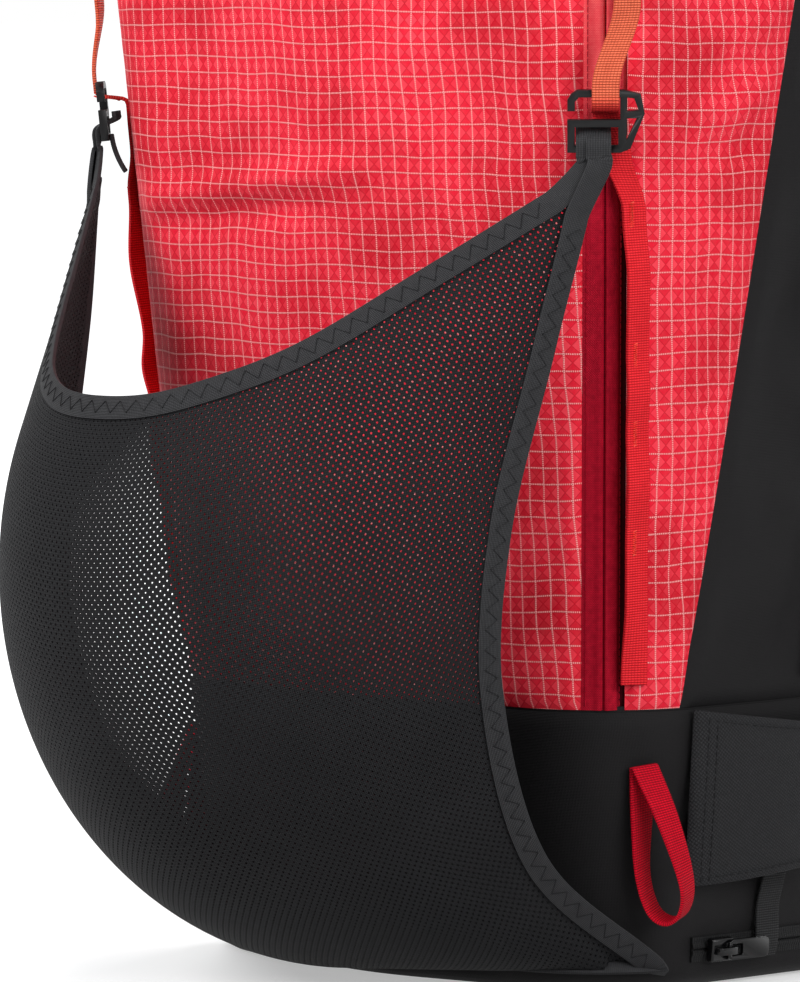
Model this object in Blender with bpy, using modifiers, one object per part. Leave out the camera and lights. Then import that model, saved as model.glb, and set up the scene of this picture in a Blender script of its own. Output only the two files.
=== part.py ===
"""Ski-touring backpack with a stretch helmet net hooked across its lower front.

Metres, +Z up, front facing -Y, origin in the middle of the flat base.
The bag is sewn from curved panels that all lie on one skin, so every strap,
zip and hook is placed on that skin by its place round the bag and its height.
"""

import math

import bmesh
import bpy
from mathutils import Matrix, Vector

# Bag: outer skin of a section that flares evenly from the floor to the rim
RIM_HEIGHT = 0.480
BOTTOM_HALF_WIDTH = 0.112
BOTTOM_FRONT_DEPTH = 0.074
BACK_Y = 0.090
FLARE = 0.075
FRONT_RADIUS = 0.045
BACK_RADIUS = 0.030
FRONT_CROWN = 0.008
FABRIC = 0.0025
SEAM_GAP = 0.0008
CLEAR = 0.0004

# Black base tub and the slanting seam between the red and the black side panels
BASE_HEIGHT = 0.102
BASE_EDGE = 0.008
SEAM_LOW_U = 1.93
SEAM_HIGH_U = 2.67
SEAM_BOW_U = 0.058
SEAM_BOW_RISE = 0.6
LID_HEIGHT = 0.074
LID_SLOPE = 0.10
RIM_MARGIN = 0.025

# Zips: one up the right front corner, one low on the right side, one round the rim
ZIP_U = 1.50
ZIP_TAPE = 0.016
ZIP_TOP_MARGIN = 0.014
BASE_ZIP_Z = 0.0145
BASE_ZIP_TAPE = 0.009
BASE_ZIP_FRONT_Y = -0.030
BASE_ZIP_BACK_Y = 0.055
LID_ZIP_TAPE = 0.010
SLIDER_LENGTH = 0.011
SLIDER_WIDTH = 0.0085
SLIDER_HEIGHT = 0.0034
SLIDER_EDGE = 0.0008
BRIDGE_HALF_LENGTH = 0.0046
BRIDGE_WIDTH = 0.0026
BRIDGE_WALL = 0.0012
BRIDGE_CHAMFER = 0.0008
BRIDGE_PLAY = 0.0010
PULL_LENGTH = 0.021
PULL_WIDTH = 0.0075
PULL_THICKNESS = 0.0014
PULL_CORNER = 0.002
PULL_EYE_LENGTH = 0.0058
PULL_EYE_MARGIN = 0.0016
PULL_SEAT = 0.0018
LID_ZIP_END_U = 2.95
LID_SLIDER_Y = 0.030

# Webbing: gear straps on the front corners, axe loops and side straps
WEBBING = 0.0013
GEAR_STRAP_WIDTH = 0.010
GEAR_STRAP_OFFSET = 0.0135
GEAR_STRAP_HOOKED = -0.0022
GEAR_STRAP_TOP = RIM_HEIGHT - RIM_MARGIN
GEAR_STRAP_FOOT = 0.010
GEAR_TACKS = (0.1635, 0.2023, 0.2299, 0.2797)
GEAR_SLACK = 0.0030
LOOP_WIDTH = 0.010
LOOP_LENGTH = 0.055
LOOP_SPREAD = 0.015
LOOP_U = 1.70
LOOP_TOP = 0.083
LOOP_LEAN = math.radians(8)
LOOP_TWIST = math.radians(48)
LOOP_SWAY = 0.0055
SIDE_STRAP_WIDTH = 0.020
SIDE_STRAP_Y = 0.030
SIDE_STRAP_FOOT = 0.008
SIDE_STRAP_TOP = 0.385

# Helmet net: a dome pulled out to two hooks above and two base corners below
NET_MIDDLE = Vector((0.0, -0.085, 0.150))
NET_REACH = Vector((0.116, 0.140, 0.146))
NET_THICKNESS = 0.0012
NET_DIP = 0.214
NET_CORNER_U = 1.82
NET_CORNER_Z = 0.009
NET_CORNER_LIFT = 0.0036
BINDING_WIDTH = 0.0085
BINDING_THICKNESS = 0.0022

# Net hooks
HOOK_Z = 0.313
HOOK_LIFT = 0.0095
HOOK_THICKNESS = 0.003
HOOK_WIDTH = 0.027
HOOK_HEIGHT = 0.022
HOOK_BAR = 0.0026
HOOK_TAB_WIDTH = 0.012
HOOK_TAB_DROP = 0.0055
HOOK_MIDDLE_X = -0.0035
HOOK_FRAME_WIDTH = 0.0085
HOOK_MOUTH = 0.0036
HOOK_CORNER = 0.0014
HOOK_RIB = 0.0022

# Ski wings low on the sides
WING_FRONT_Y = -0.036
WING_BACK_Y = 0.062
WING_FRONT_LOW = 0.038
WING_FRONT_HIGH = 0.102
WING_BACK_LOW = 0.050
WING_BACK_HIGH = 0.090
WING_STAND_OFF = 0.013
WING_THICKNESS = 0.002

# Inside the bag
LINING_Y = -0.030
LINING_HEIGHT = RIM_HEIGHT - 2 * RIM_MARGIN
LINING_THICKNESS = 0.0012
SHEET_WIDTH = 0.160
SHEET_LOW = 0.040
SHEET_HIGH = RIM_HEIGHT - RIM_MARGIN
SHEET_THICKNESS = 0.0015
STAY_WIDTH = 0.020
STAY_THICKNESS = 0.0025
STAY_END_MARGIN = 0.010

# Carrying side
PAD_THICKNESS = 0.014
PAD_INNER_X = 0.016
PAD_OUTER_X = 0.092
PAD_LOW = 0.178
PAD_HIGH = 0.392
LUMBAR_HALF_WIDTH = 0.074
LUMBAR_LOW = 0.066
LUMBAR_HIGH = 0.166
YOKE_LOW = 0.404
YOKE_HIGH = 0.434
YOKE_HALF_WIDTH = 0.108
YOKE_THICKNESS = 0.005
STRAP_THICKNESS = 0.013
STRAP_X = 0.070
STRAP_WIDTH = 0.058
STRAP_END_X = 0.104
STRAP_END_Z = 0.236
STRAP_END_WIDTH = 0.040
STRAP_STAND_OFF = 0.082
STRAP_ROUNDING = 0.0032
STRAP_END_ROUNDING = 0.0008
LADDER_WIDTH = 0.030
LADDER_HEIGHT = 0.024
LADDER_THICKNESS = 0.003
LADDER_CORNER = 0.003
LADDER_SLOT = 0.0042
LADDER_SIDE = 0.004
LOWER_WEBBING_WIDTH = 0.018
ANCHOR_X = 0.084
ANCHOR_Z = 0.170
STERNUM_Z = 0.346
STERNUM_WIDTH = 0.018
CLIP_WIDTH = 0.016
CLIP_MARGIN = 0.005
CLIP_SLOT = 0.0036
CLIP_SLOT_X = 0.0035
CLIP_TAIL = 0.006
BUCKLE_LENGTH = 0.040
BUCKLE_WIDTH = 0.030
BUCKLE_THICKNESS = 0.010
BUCKLE_WALL = 0.0025
BUCKLE_BACK = 0.010
BUCKLE_EDGE = 0.0025
BUCKLE_WINDOW = 0.012
BUCKLE_WINDOW_X = 0.004
PRONG_THICKNESS = 0.0035
PRONG_BAR = 0.009
HIP_SOCKET_DEPTH = 0.026
HIP_SOCKET_BACK = 0.005
HIP_HINGE_X = 0.088
HIP_Z = 0.116
HIP_HEIGHT = 0.092
HIP_END_HEIGHT = 0.050
HIP_THICKNESS = 0.011
HIP_REACH = 0.110
HIP_ROUNDING = 0.0032
HIP_WEBBING_LENGTH = 0.022
HAUL_Z = RIM_HEIGHT - RIM_MARGIN
HAUL_HALF_WIDTH = 0.026
HAUL_REACH = 0.036
HAUL_WIDTH = 0.018
HAUL_END_SHARE = 0.30
HAUL_HANG = math.radians(60)

# Clean scene and the two collections
for old in list(bpy.data.objects):
    bpy.data.objects.remove(old)
PARTS = bpy.data.collections.new("ski_backpack")
CUTTERS = bpy.data.collections.new("ski_backpack_cutters")
bpy.context.scene.collection.children.link(PARTS)
bpy.context.scene.collection.children.link(CUTTERS)


def material(name, colour, roughness, metallic=0.0):
    """A Principled material of one colour."""
    made = bpy.data.materials.new(name)
    made.use_nodes = True
    shader = made.node_tree.nodes["Principled BSDF"]
    shader.inputs["Base Color"].default_value = (*colour, 1.0)
    shader.inputs["Roughness"].default_value = roughness
    shader.inputs["Metallic"].default_value = metallic
    return made


RED_RIPSTOP = material("red_ripstop", (0.78, 0.03, 0.06), 0.6)
CRIMSON_ZIP = material("crimson_zip", (0.45, 0.01, 0.02), 0.6)
ORANGE_WEBBING = material("orange_webbing", (0.84, 0.07, 0.04), 0.7)
BLACK_FABRIC = material("black_fabric", (0.018, 0.017, 0.018), 0.75)
BLACK_NET = material("black_net", (0.022, 0.022, 0.024), 0.85)
GREY_BINDING = material("grey_binding", (0.05, 0.05, 0.052), 0.8)
CHARCOAL_WING = material("charcoal_wing", (0.028, 0.028, 0.03), 0.7)
BLACK_WEBBING = material("black_webbing", (0.02, 0.02, 0.02), 0.75)
BLACK_PLASTIC = material("black_plastic", (0.012, 0.012, 0.012), 0.35)
BLACK_SLIDER = material("black_slider", (0.008, 0.008, 0.008), 0.2)
WHITE_SHEET = material("white_sheet", (0.72, 0.72, 0.70), 0.5)
BARE_ALUMINIUM = material("bare_aluminium", (0.60, 0.61, 0.62), 0.35, 1.0)
GREY_LINING = material("grey_lining", (0.22, 0.22, 0.23), 0.8)
PAD_MESH = material("pad_mesh", (0.03, 0.03, 0.032), 0.85)


def keep(name, data, paint, collection=PARTS):
    """Object of this name in a collection, with one material."""
    made = bpy.data.objects.new(name, data)
    data.materials.append(paint)
    collection.objects.link(made)
    return made


# The skin of the bag
def half_width(z):
    """Half the bag's width at a height."""
    return BOTTOM_HALF_WIDTH + FLARE * z


def front_y(z):
    """Where the flat of the bag's front lies at a height."""
    return -(BOTTOM_FRONT_DEPTH + FLARE * z)


def skin(u, z):
    """Point of the outer skin. u is 0 mid-front, 1 to 2 round the front corner,
    2 to 3 along the side, 3 to 4 round the back corner and 5 mid-back."""
    u = (u + 5.0) % 10.0 - 5.0
    side = math.copysign(1.0, u)
    u = abs(u)
    wide = half_width(z)
    front = front_y(z)
    if u <= 1.0:
        x = u * (wide - FRONT_RADIUS)
        y = front - FRONT_CROWN * (0.5 + 0.5 * math.cos(math.pi * u))
    elif u <= 2.0:
        turn = (u - 1.0) * math.pi / 2
        x = wide - FRONT_RADIUS * (1.0 - math.sin(turn))
        y = front + FRONT_RADIUS * (1.0 - math.cos(turn))
    elif u <= 3.0:
        start = front + FRONT_RADIUS
        x = wide
        y = start + (u - 2.0) * (BACK_Y - BACK_RADIUS - start)
    elif u <= 4.0:
        turn = (u - 3.0) * math.pi / 2
        x = wide - BACK_RADIUS * (1.0 - math.cos(turn))
        y = BACK_Y - BACK_RADIUS * (1.0 - math.sin(turn))
    else:
        x = (5.0 - u) * (wide - BACK_RADIUS)
        y = BACK_Y
    return Vector((side * x, y, z))


def skin_frame(u, z, lift=0.0):
    """Frame on the skin: X across to larger u, Y up, Z out of the bag."""
    step = 0.001
    across = (skin(u + step, z) - skin(u - step, z)).normalized()
    up = (skin(u, z + step) - skin(u, z - step)).normalized()
    out = across.cross(up).normalized()
    up = out.cross(across)
    frame = Matrix((across, up, out)).transposed().to_4x4()
    frame.translation = skin(u, z) + out * lift
    return frame


def moved_u(u, z, distance):
    """The u that lies this far across the skin from u."""
    step = 0.001
    rate = (skin(u + step, z) - skin(u - step, z)).length / (2 * step)
    return u + distance / rate


def side_u(y, z):
    """The u of a place on the flat of the right side."""
    start = front_y(z) + FRONT_RADIUS
    return 2.0 + (y - start) / (BACK_Y - BACK_RADIUS - start)


def colour_seam_u(z):
    """The u of the slanting seam between the red and the black side panels."""
    share = min(max((z - BASE_HEIGHT) / (RIM_HEIGHT - BASE_HEIGHT), 0.0), 1.0)
    bow = SEAM_BOW_U * math.sin(math.pi * share**SEAM_BOW_RISE)
    return SEAM_LOW_U + share * (SEAM_HIGH_U - SEAM_LOW_U) + bow


# Builders
def mix(low, high, share):
    """Value a share of the way from low to high."""
    return low + (high - low) * share


def spline(points, share):
    """Point on a smooth curve through evenly spaced points."""
    last = len(points) - 1
    place = min(max(share, 0.0), 1.0) * last
    k = min(int(place), last - 1)
    t = place - k
    p1 = points[k]
    p2 = points[k + 1]
    p0 = points[k - 1] if k > 0 else 2 * p1 - p2
    p3 = points[k + 2] if k + 2 <= last else 2 * p2 - p1
    bend = (2 * p0 - 5 * p1 + 4 * p2 - p3) * t * t
    twist = (3 * p1 - p0 - 3 * p2 + p3) * t * t * t
    return 0.5 * (2 * p1 + (p2 - p0) * t + bend + twist)


def sheet(name, across, along, place, thickness, paint, offset=-1.0):
    """Grid laid by place(s, t), thickened: offset -1 inwards, 1 outwards, 0 both."""
    grid = bmesh.new()
    bmesh.ops.create_grid(grid, x_segments=across, y_segments=along, size=0.5)
    for vertex in grid.verts:
        vertex.co = place(vertex.co.x + 0.5, vertex.co.y + 0.5)
    mesh = bpy.data.meshes.new(name)
    grid.to_mesh(mesh)
    grid.free()
    made = keep(name, mesh, paint)
    solid = made.modifiers.new("thickness", "SOLIDIFY")
    solid.thickness = thickness
    solid.offset = offset
    return made


def softened(made, levels=1):
    """Round a cushion off with a subdivision surface."""
    soft = made.modifiers.new("soft", "SUBSURF")
    soft.levels = levels
    soft.render_levels = levels
    return made


def panel(name, left, right, low, high, across, along, paint):
    """Panel of the skin between two seams given as u at a height."""
    half_gap = SEAM_GAP / 2

    def place(s, t):
        z = mix(low + half_gap, high - half_gap, t)
        start = moved_u(left(z), z, half_gap)
        end = moved_u(right(z), z, -half_gap)
        return skin(mix(start, end, s), z)

    return sheet(name, across, along, place, FABRIC, paint)


def cap(name, count, rings, closed, slope, paint):
    """Rings of the skin's outline, each drawn in towards the middle by a share and put
    at a height, with the ring numbered closed filled flat. slope tilts the heights."""
    grid = bmesh.new()
    steps = len(rings) - 1
    bmesh.ops.create_grid(grid, x_segments=count, y_segments=steps, size=0.5)
    end = round((closed / steps - 0.5) * 1000)
    edges = [e for e in grid.edges if all(round(v.co.y * 1000) == end for v in e.verts)]
    for vertex in grid.verts:
        outline_z, drawn, z = rings[round((vertex.co.y + 0.5) * steps)]
        outline = skin((vertex.co.x + 0.5) * 10.0 - 5.0, outline_z)
        middle = Vector((0, (BACK_Y + front_y(outline_z)) / 2, 0))
        point = outline.lerp(middle, drawn)
        rise = slope * (point.y - BACK_Y) * (z - rings[0][2]) / (rings[-1][2] - rings[0][2])
        vertex.co = Vector((point.x, point.y, z + rise))
    bmesh.ops.remove_doubles(grid, verts=grid.verts, dist=0.00005)
    hole = [e for e in edges if e.is_valid]
    face = bmesh.ops.contextual_create(grid, geom=hole)["faces"][0]
    if face.normal.z * (1 if closed else -1) < 0:
        face.normal_flip()
    mesh = bpy.data.meshes.new(name)
    grid.to_mesh(mesh)
    grid.free()
    made = keep(name, mesh, paint)
    solid = made.modifiers.new("thickness", "SOLIDIFY")
    solid.thickness = FABRIC
    solid.offset = -1.0
    return made


def plate(name, outlines, thickness, frame, paint, collection=PARTS):
    """Flat outline with its windows, as a filled 2D curve, half its thickness each way."""
    curve = bpy.data.curves.new(name, "CURVE")
    curve.dimensions = "2D"
    curve.fill_mode = "BOTH"
    curve.extrude = thickness / 2
    for outline in outlines:
        line = curve.splines.new("POLY")
        line.points.add(len(outline) - 1)
        line.use_cyclic_u = True
        for point, (x, y) in zip(line.points, outline):
            point.co = (x, y, 0.0, 1.0)
    made = keep(name, curve, paint, collection)
    made.matrix_world = frame
    return made


def solid_copy(made, collection=CUTTERS):
    """Mesh copy of a filled curve, with its caps and walls joined."""
    shown = made.evaluated_get(bpy.context.evaluated_depsgraph_get())
    mesh = bpy.data.meshes.new_from_object(shown)
    body = bmesh.new()
    body.from_mesh(mesh)
    bmesh.ops.remove_doubles(body, verts=body.verts, dist=0.00001)
    bmesh.ops.recalc_face_normals(body, faces=body.faces)
    body.to_mesh(mesh)
    body.free()
    name = made.name
    frame = made.matrix_world.copy()
    bpy.data.objects.remove(made)
    copy = bpy.data.objects.new(name, mesh)
    collection.objects.link(copy)
    copy.matrix_world = frame
    return copy


def box(name, size, frame, paint, bevel=0.0, collection=PARTS):
    """Box of this size in a frame, with its edges rounded."""
    block = bmesh.new()
    bmesh.ops.create_cube(block, size=1.0)
    bmesh.ops.scale(block, vec=size, verts=block.verts)
    mesh = bpy.data.meshes.new(name)
    block.to_mesh(mesh)
    block.free()
    made = keep(name, mesh, paint, collection)
    made.matrix_world = frame
    if bevel > 0:
        edge = made.modifiers.new("edge", "BEVEL")
        edge.width = bevel
        edge.segments = 2
    return made


def cut(made, cutter, operation="DIFFERENCE"):
    """Exact Boolean with a cutter that is kept out of the renders."""
    cutter.hide_render = True
    cutter.display_type = "WIRE"
    change = made.modifiers.new(cutter.name, "BOOLEAN")
    change.operation = operation
    change.object = cutter
    change.solver = "EXACT"


def rounded(width, height, radius, steps=3):
    """Rectangle with round corners, as points."""
    points = []
    for corner in range(4):
        sx = 1 if corner in (0, 3) else -1
        sy = 1 if corner < 2 else -1
        for step in range(steps + 1):
            angle = math.pi / 2 * (corner + step / steps)
            x = sx * (width / 2 - radius) + radius * math.cos(angle)
            y = sy * (height / 2 - radius) + radius * math.sin(angle)
            points.append((x, y))
    return points


def shifted(points, x, y):
    """Outline moved in its plane."""
    return [(px + x, py + y) for px, py in points]


def mirrored(points, side):
    """Outline turned over for the left side."""
    return [(side * px, py) for px, py in points]


def joint(name, point, pieces):
    """Empty on a joint's axis, carrying the pieces that move there."""
    pivot = bpy.data.objects.new(name, None)
    pivot.location = point
    PARTS.objects.link(pivot)
    bpy.context.view_layer.update()
    for piece in pieces:
        carried = bpy.data.objects[piece]
        carried.parent = pivot
        carried.matrix_parent_inverse = pivot.matrix_world.inverted()


SIDES = ((1, "right"), (-1, "left"))

# Bag panels
front_edge = moved_u(ZIP_U, RIM_HEIGHT / 2, -ZIP_TAPE / 2)
rear_edge = moved_u(ZIP_U, RIM_HEIGHT / 2, ZIP_TAPE / 2)


def seam(u):
    """Straight seam up the skin."""
    return lambda z: u


def left_colour_seam_u(z):
    """The slanting seam of the left side."""
    return -colour_seam_u(z)


def bag_panel(name, left, right, across, paint):
    """Panel from the base's seam to the rim."""
    return panel(name, left, right, BASE_HEIGHT, RIM_HEIGHT, across, 4, paint)


bag_panel("front_panel", seam(-ZIP_U), seam(front_edge), 16, RED_RIPSTOP)
bag_panel("front_zip", seam(front_edge), seam(rear_edge), 2, CRIMSON_ZIP)
bag_panel("side_red_right", seam(rear_edge), colour_seam_u, 6, RED_RIPSTOP)
bag_panel("side_red_left", left_colour_seam_u, seam(-ZIP_U), 6, RED_RIPSTOP)
bag_panel("side_black_right", colour_seam_u, seam(4.0), 7, BLACK_FABRIC)
bag_panel("side_black_left", seam(-4.0), left_colour_seam_u, 7, BLACK_FABRIC)
bag_panel("back_panel", seam(4.0), seam(6.0), 4, BLACK_FABRIC)

# Base tub with a round lower edge and a flat floor
edge_share = BASE_EDGE / BOTTOM_FRONT_DEPTH
base_rings = []
for step in range(4):
    turn = math.pi / 6 * step
    base_rings.append((BASE_EDGE, edge_share * (1 - math.sin(turn)), BASE_EDGE * (1 - math.cos(turn))))
for height in (BASE_HEIGHT / 2, BASE_HEIGHT - SEAM_GAP / 2):
    base_rings.append((height, 0.0, height))
cap("base_tub", 40, base_rings, 0, 0.0, BLACK_FABRIC)

# Lid: a domed hood that closes the rim, highest at the back
lid_low = RIM_HEIGHT + SEAM_GAP / 2
lid_high = RIM_HEIGHT + LID_HEIGHT
lid_profile = [(0.0, 0.0), (0.010, 0.40), (0.045, 0.66), (0.130, 0.85), (0.300, 0.96), (0.560, 1.0)]
lid_rings = [(RIM_HEIGHT, drawn, mix(lid_low, lid_high, rise)) for drawn, rise in lid_profile]
cap("lid", 40, lid_rings, 5, LID_SLOPE, RED_RIPSTOP)

# Zip tapes sewn on the outside of the base and under the rim
def base_zip_place(s, t):
    z = BASE_ZIP_Z + BASE_ZIP_TAPE * (t - 0.5)
    y = mix(BASE_ZIP_FRONT_Y, BASE_ZIP_BACK_Y, s)
    return skin_frame(side_u(y, z), z, CLEAR).translation


sheet("base_zip", 2, 1, base_zip_place, WEBBING, BLACK_WEBBING, 1.0)


def lid_zip_place(s, t):
    z = RIM_HEIGHT - ZIP_TOP_MARGIN / 2 + LID_ZIP_TAPE * (t - 0.5)
    return skin_frame(mix(-LID_ZIP_END_U, LID_ZIP_END_U, s), z, 2 * CLEAR).translation


sheet("lid_zip", 34, 1, lid_zip_place, WEBBING, CRIMSON_ZIP, 1.0)


# Zip sliders, each with a hanging pull on its bridge
def zip_pull_outline():
    """Tab with a window at its top end; the hinge bar of the window is at the origin."""
    bar = PULL_THICKNESS
    low = -PULL_LENGTH + bar / 2
    high = bar / 2
    tab = rounded(PULL_WIDTH, PULL_LENGTH, PULL_CORNER, 2)
    eye = rounded(PULL_WIDTH - 2 * PULL_EYE_MARGIN, PULL_EYE_LENGTH, PULL_EYE_MARGIN / 4, 1)
    return [
        shifted(tab, 0.0, (low + high) / 2),
        shifted(eye, 0.0, -bar / 2 - PULL_EYE_LENGTH / 2),
    ]


def zip_slider(name, frame):
    """Slider body with a bridge; frame has its origin on the tape, Y along the zip."""
    seat = Matrix.Translation((0, 0, SLIDER_HEIGHT / 2))
    body_size = (SLIDER_WIDTH, SLIDER_LENGTH, SLIDER_HEIGHT)
    made = box(f"{name}_slider", body_size, frame @ seat, BLACK_SLIDER, SLIDER_EDGE)
    window_low = SLIDER_HEIGHT + CLEAR / 2
    window_high = window_low + PULL_THICKNESS + BRIDGE_PLAY
    top = window_high + BRIDGE_WALL - CLEAR / 2
    inner = BRIDGE_HALF_LENGTH - BRIDGE_WALL
    arch = [
        (-BRIDGE_HALF_LENGTH, SLIDER_HEIGHT / 2),
        (BRIDGE_HALF_LENGTH, SLIDER_HEIGHT / 2),
        (BRIDGE_HALF_LENGTH, top - BRIDGE_CHAMFER),
        (BRIDGE_HALF_LENGTH - BRIDGE_CHAMFER, top),
        (BRIDGE_CHAMFER - BRIDGE_HALF_LENGTH, top),
        (-BRIDGE_HALF_LENGTH, top - BRIDGE_CHAMFER),
    ]
    window = [
        (-inner, window_low),
        (inner, window_low),
        (inner, window_high - BRIDGE_CHAMFER / 2),
        (inner - BRIDGE_CHAMFER / 2, window_high),
        (BRIDGE_CHAMFER / 2 - inner, window_high),
        (-inner, window_high - BRIDGE_CHAMFER / 2),
    ]
    across = Matrix(((0, 0, 1, 0), (1, 0, 0, 0), (0, 1, 0, 0), (0, 0, 0, 1)))
    bridge_at = frame @ across
    bridge = plate(f"{name}_bridge", [arch, window], BRIDGE_WIDTH, bridge_at, BLACK_SLIDER, CUTTERS)
    bpy.context.view_layer.update()
    cut(made, solid_copy(bridge), "UNION")
    hinge = Matrix.Translation((0, -PULL_SEAT, (window_low + window_high) / 2))
    pull = plate(
        f"{name}_pull", zip_pull_outline(), PULL_THICKNESS, frame @ hinge, BLACK_SLIDER
    )
    return made, pull


slider_lift = WEBBING + 3 * CLEAR
front_slider_z = RIM_HEIGHT - ZIP_TOP_MARGIN - LID_ZIP_TAPE
zip_slider("front_zip", skin_frame(ZIP_U, front_slider_z, CLEAR))
turn_back = Matrix.Rotation(math.pi / 2, 4, "Z")
base_slider_u = side_u(BASE_ZIP_FRONT_Y + SLIDER_LENGTH, BASE_ZIP_Z)
base_slider_frame = skin_frame(base_slider_u, BASE_ZIP_Z, slider_lift) @ turn_back
zip_slider("base_zip", base_slider_frame)
lid_slider_z = RIM_HEIGHT - ZIP_TOP_MARGIN / 2
lid_slider_u = side_u(LID_SLIDER_Y, lid_slider_z)
lid_slider_frame = skin_frame(lid_slider_u, lid_slider_z, slider_lift) @ turn_back
zip_slider("lid_zip", lid_slider_frame)

# Net hooks: an open hook above, a webbing window below and a frame with two holes
half = HOOK_WIDTH / 2
tall = HOOK_HEIGHT / 2
bar = HOOK_BAR
frame_x = half - HOOK_FRAME_WIDTH
arm_low = tall - bar
window_low = -tall + bar
window_high = -bar / 2 - HOOK_RIB / 3
corner = HOOK_CORNER
hook_outline = [
    (-half, -tall),
    (frame_x, -tall),
    (frame_x + 2.5 * corner, -tall + corner),
    (half, 2 * corner),
    (half - corner, tall - corner),
    (frame_x + corner, tall),
    (-half + 2.5 * corner, tall),
    (-half + corner, tall - corner),
    (-half, tall - 2.5 * corner),
    (-half, HOOK_MOUTH),
    (-half + bar, HOOK_MOUTH),
    (-half + bar, arm_low - corner),
    (-half + bar + corner, arm_low),
    (frame_x, arm_low),
    (frame_x, window_high + bar),
    (-half, window_high + bar),
]
hook_window = [
    (-half + bar, window_low),
    (frame_x - HOOK_RIB / 3, window_low),
    (frame_x - HOOK_RIB / 3, window_high),
    (-half + bar, window_high),
]
hook_low_hole = [
    (frame_x + HOOK_RIB, -tall + 2 * HOOK_RIB),
    (half - 1.2 * HOOK_RIB, HOOK_RIB / 2),
    (frame_x + HOOK_RIB, HOOK_RIB / 2),
]
hook_high_hole = [
    (frame_x + HOOK_RIB, 1.6 * HOOK_RIB),
    (half - HOOK_RIB, 1.8 * HOOK_RIB),
    (half - 1.7 * HOOK_RIB, tall - 1.3 * HOOK_RIB),
    (frame_x + HOOK_RIB, tall - 1.2 * HOOK_RIB),
]
bar_y = -tall + bar / 2


def hook_frame(side):
    """Frame of a net hook, standing off the front corner beside the gear strap."""
    return skin_frame(side * ZIP_U, HOOK_Z, HOOK_LIFT)


def wrap_place(frame, s, t, width):
    """Webbing bent over a hook's lower bar, front and back plies hanging below it."""
    reach = HOOK_THICKNESS / 2 + CLEAR + WEBBING / 2
    low = bar_y - HOOK_TAB_DROP
    turn_in = bar_y - bar / 2
    over = bar_y + bar / 2 + WEBBING / 2
    top = over + WEBBING
    heights = [low, turn_in, over, top, over, turn_in, low]
    lifts = [0.9, 1.0, 0.9, 0.0, -0.9, -1.0, -0.9]
    profile = [Vector((0, y, reach * lift)) for y, lift in zip(heights, lifts)]
    point = profile[round(t * 6)].copy()
    point.x = HOOK_MIDDLE_X + width * (s - 0.5)
    return frame @ point


for side, word in SIDES:
    frame = hook_frame(side)
    outlines = [hook_outline, hook_window, hook_low_hole, hook_high_hole]
    outlines = [mirrored(line, side) for line in outlines]
    plate(f"net_hook_{word}", outlines, HOOK_THICKNESS, frame, BLACK_PLASTIC)
    mirror = Matrix.Diagonal((side, 1, 1, 1))

    def tab_place(s, t, frame=frame @ mirror, side=side):
        return wrap_place(frame, s, t if side > 0 else 1.0 - t, HOOK_TAB_WIDTH)

    sheet(f"net_tab_{word}", 1, 6, tab_place, WEBBING, BLACK_WEBBING, 0.0)

# Gear straps beside the zips: sewn down at places, lifted off by the hook in the slot
strap_inner = HOOK_LIFT + HOOK_THICKNESS / 2 + 3 * CLEAR
seat = 2 * CLEAR
slot_low = HOOK_Z + window_high + bar
slot_high = HOOK_Z + arm_low
hook_top = HOOK_Z + tall
gear_profile = [(BASE_HEIGHT + GEAR_STRAP_FOOT, seat, 0.0)]
for low, high in zip(GEAR_TACKS, GEAR_TACKS[1:]):
    gear_profile += [(low, seat, 0.0), ((low + high) / 2, GEAR_SLACK, 0.0)]
gear_profile += [
    (GEAR_TACKS[-1], seat, 0.12),
    (slot_low - 0.012, seat, 0.6),
    (slot_low + 0.0010, seat, 0.9),
    (slot_low + 0.0022, seat + CLEAR, 1.0),
    (slot_high - 0.0030, strap_inner - 4 * CLEAR, 1.0),
    (slot_high - 0.0016, strap_inner, 1.0),
    (hook_top + 0.0010, strap_inner, 1.0),
    (hook_top + 0.030, strap_inner * 0.62, 0.7),
    (hook_top + 0.080, seat, 0.2),
    (GEAR_STRAP_TOP, seat, 0.0),
]
for side, word in SIDES:

    def gear_place(s, t, side=side):
        z, lift, hooked = gear_profile[round(t * (len(gear_profile) - 1))]
        offset = mix(GEAR_STRAP_OFFSET, GEAR_STRAP_HOOKED, hooked)
        offset += side * GEAR_STRAP_WIDTH * (s - 0.5)
        return skin_frame(side * moved_u(ZIP_U, z, offset), z, lift).translation

    steps = len(gear_profile) - 1
    name = f"gear_strap_{word}"
    sheet(name, 2, steps, gear_place, WEBBING, ORANGE_WEBBING, 1.0)

# Axe loops: a strip of webbing folded in a drop, hung in the base seam and twisted
loop_lift = WEBBING / 2 + CLEAR
loop_stand = LOOP_WIDTH / 2 * math.sin(LOOP_TWIST) + loop_lift
loop_out = loop_stand * 1.15
loop_end = loop_lift + WEBBING + CLEAR
loop_drop = [
    (0.0, loop_lift, 0.0, 0.0),
    (0.35, loop_stand * 0.75, 0.5, -0.6),
    (0.70, loop_out, 0.9, -1.0),
    (0.93, loop_out + LOOP_SPREAD * 0.2, 1.0, -0.7),
    (1.0, loop_out + LOOP_SPREAD * 0.5, 1.0, 0.1),
    (0.92, loop_out + LOOP_SPREAD * 0.85, 1.0, 0.8),
    (0.72, loop_out + LOOP_SPREAD, 0.9, 1.0),
    (0.35, loop_stand + LOOP_SPREAD * 0.6, 0.5, 0.6),
    (0.0, loop_end, 0.0, 0.0),
]
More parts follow.
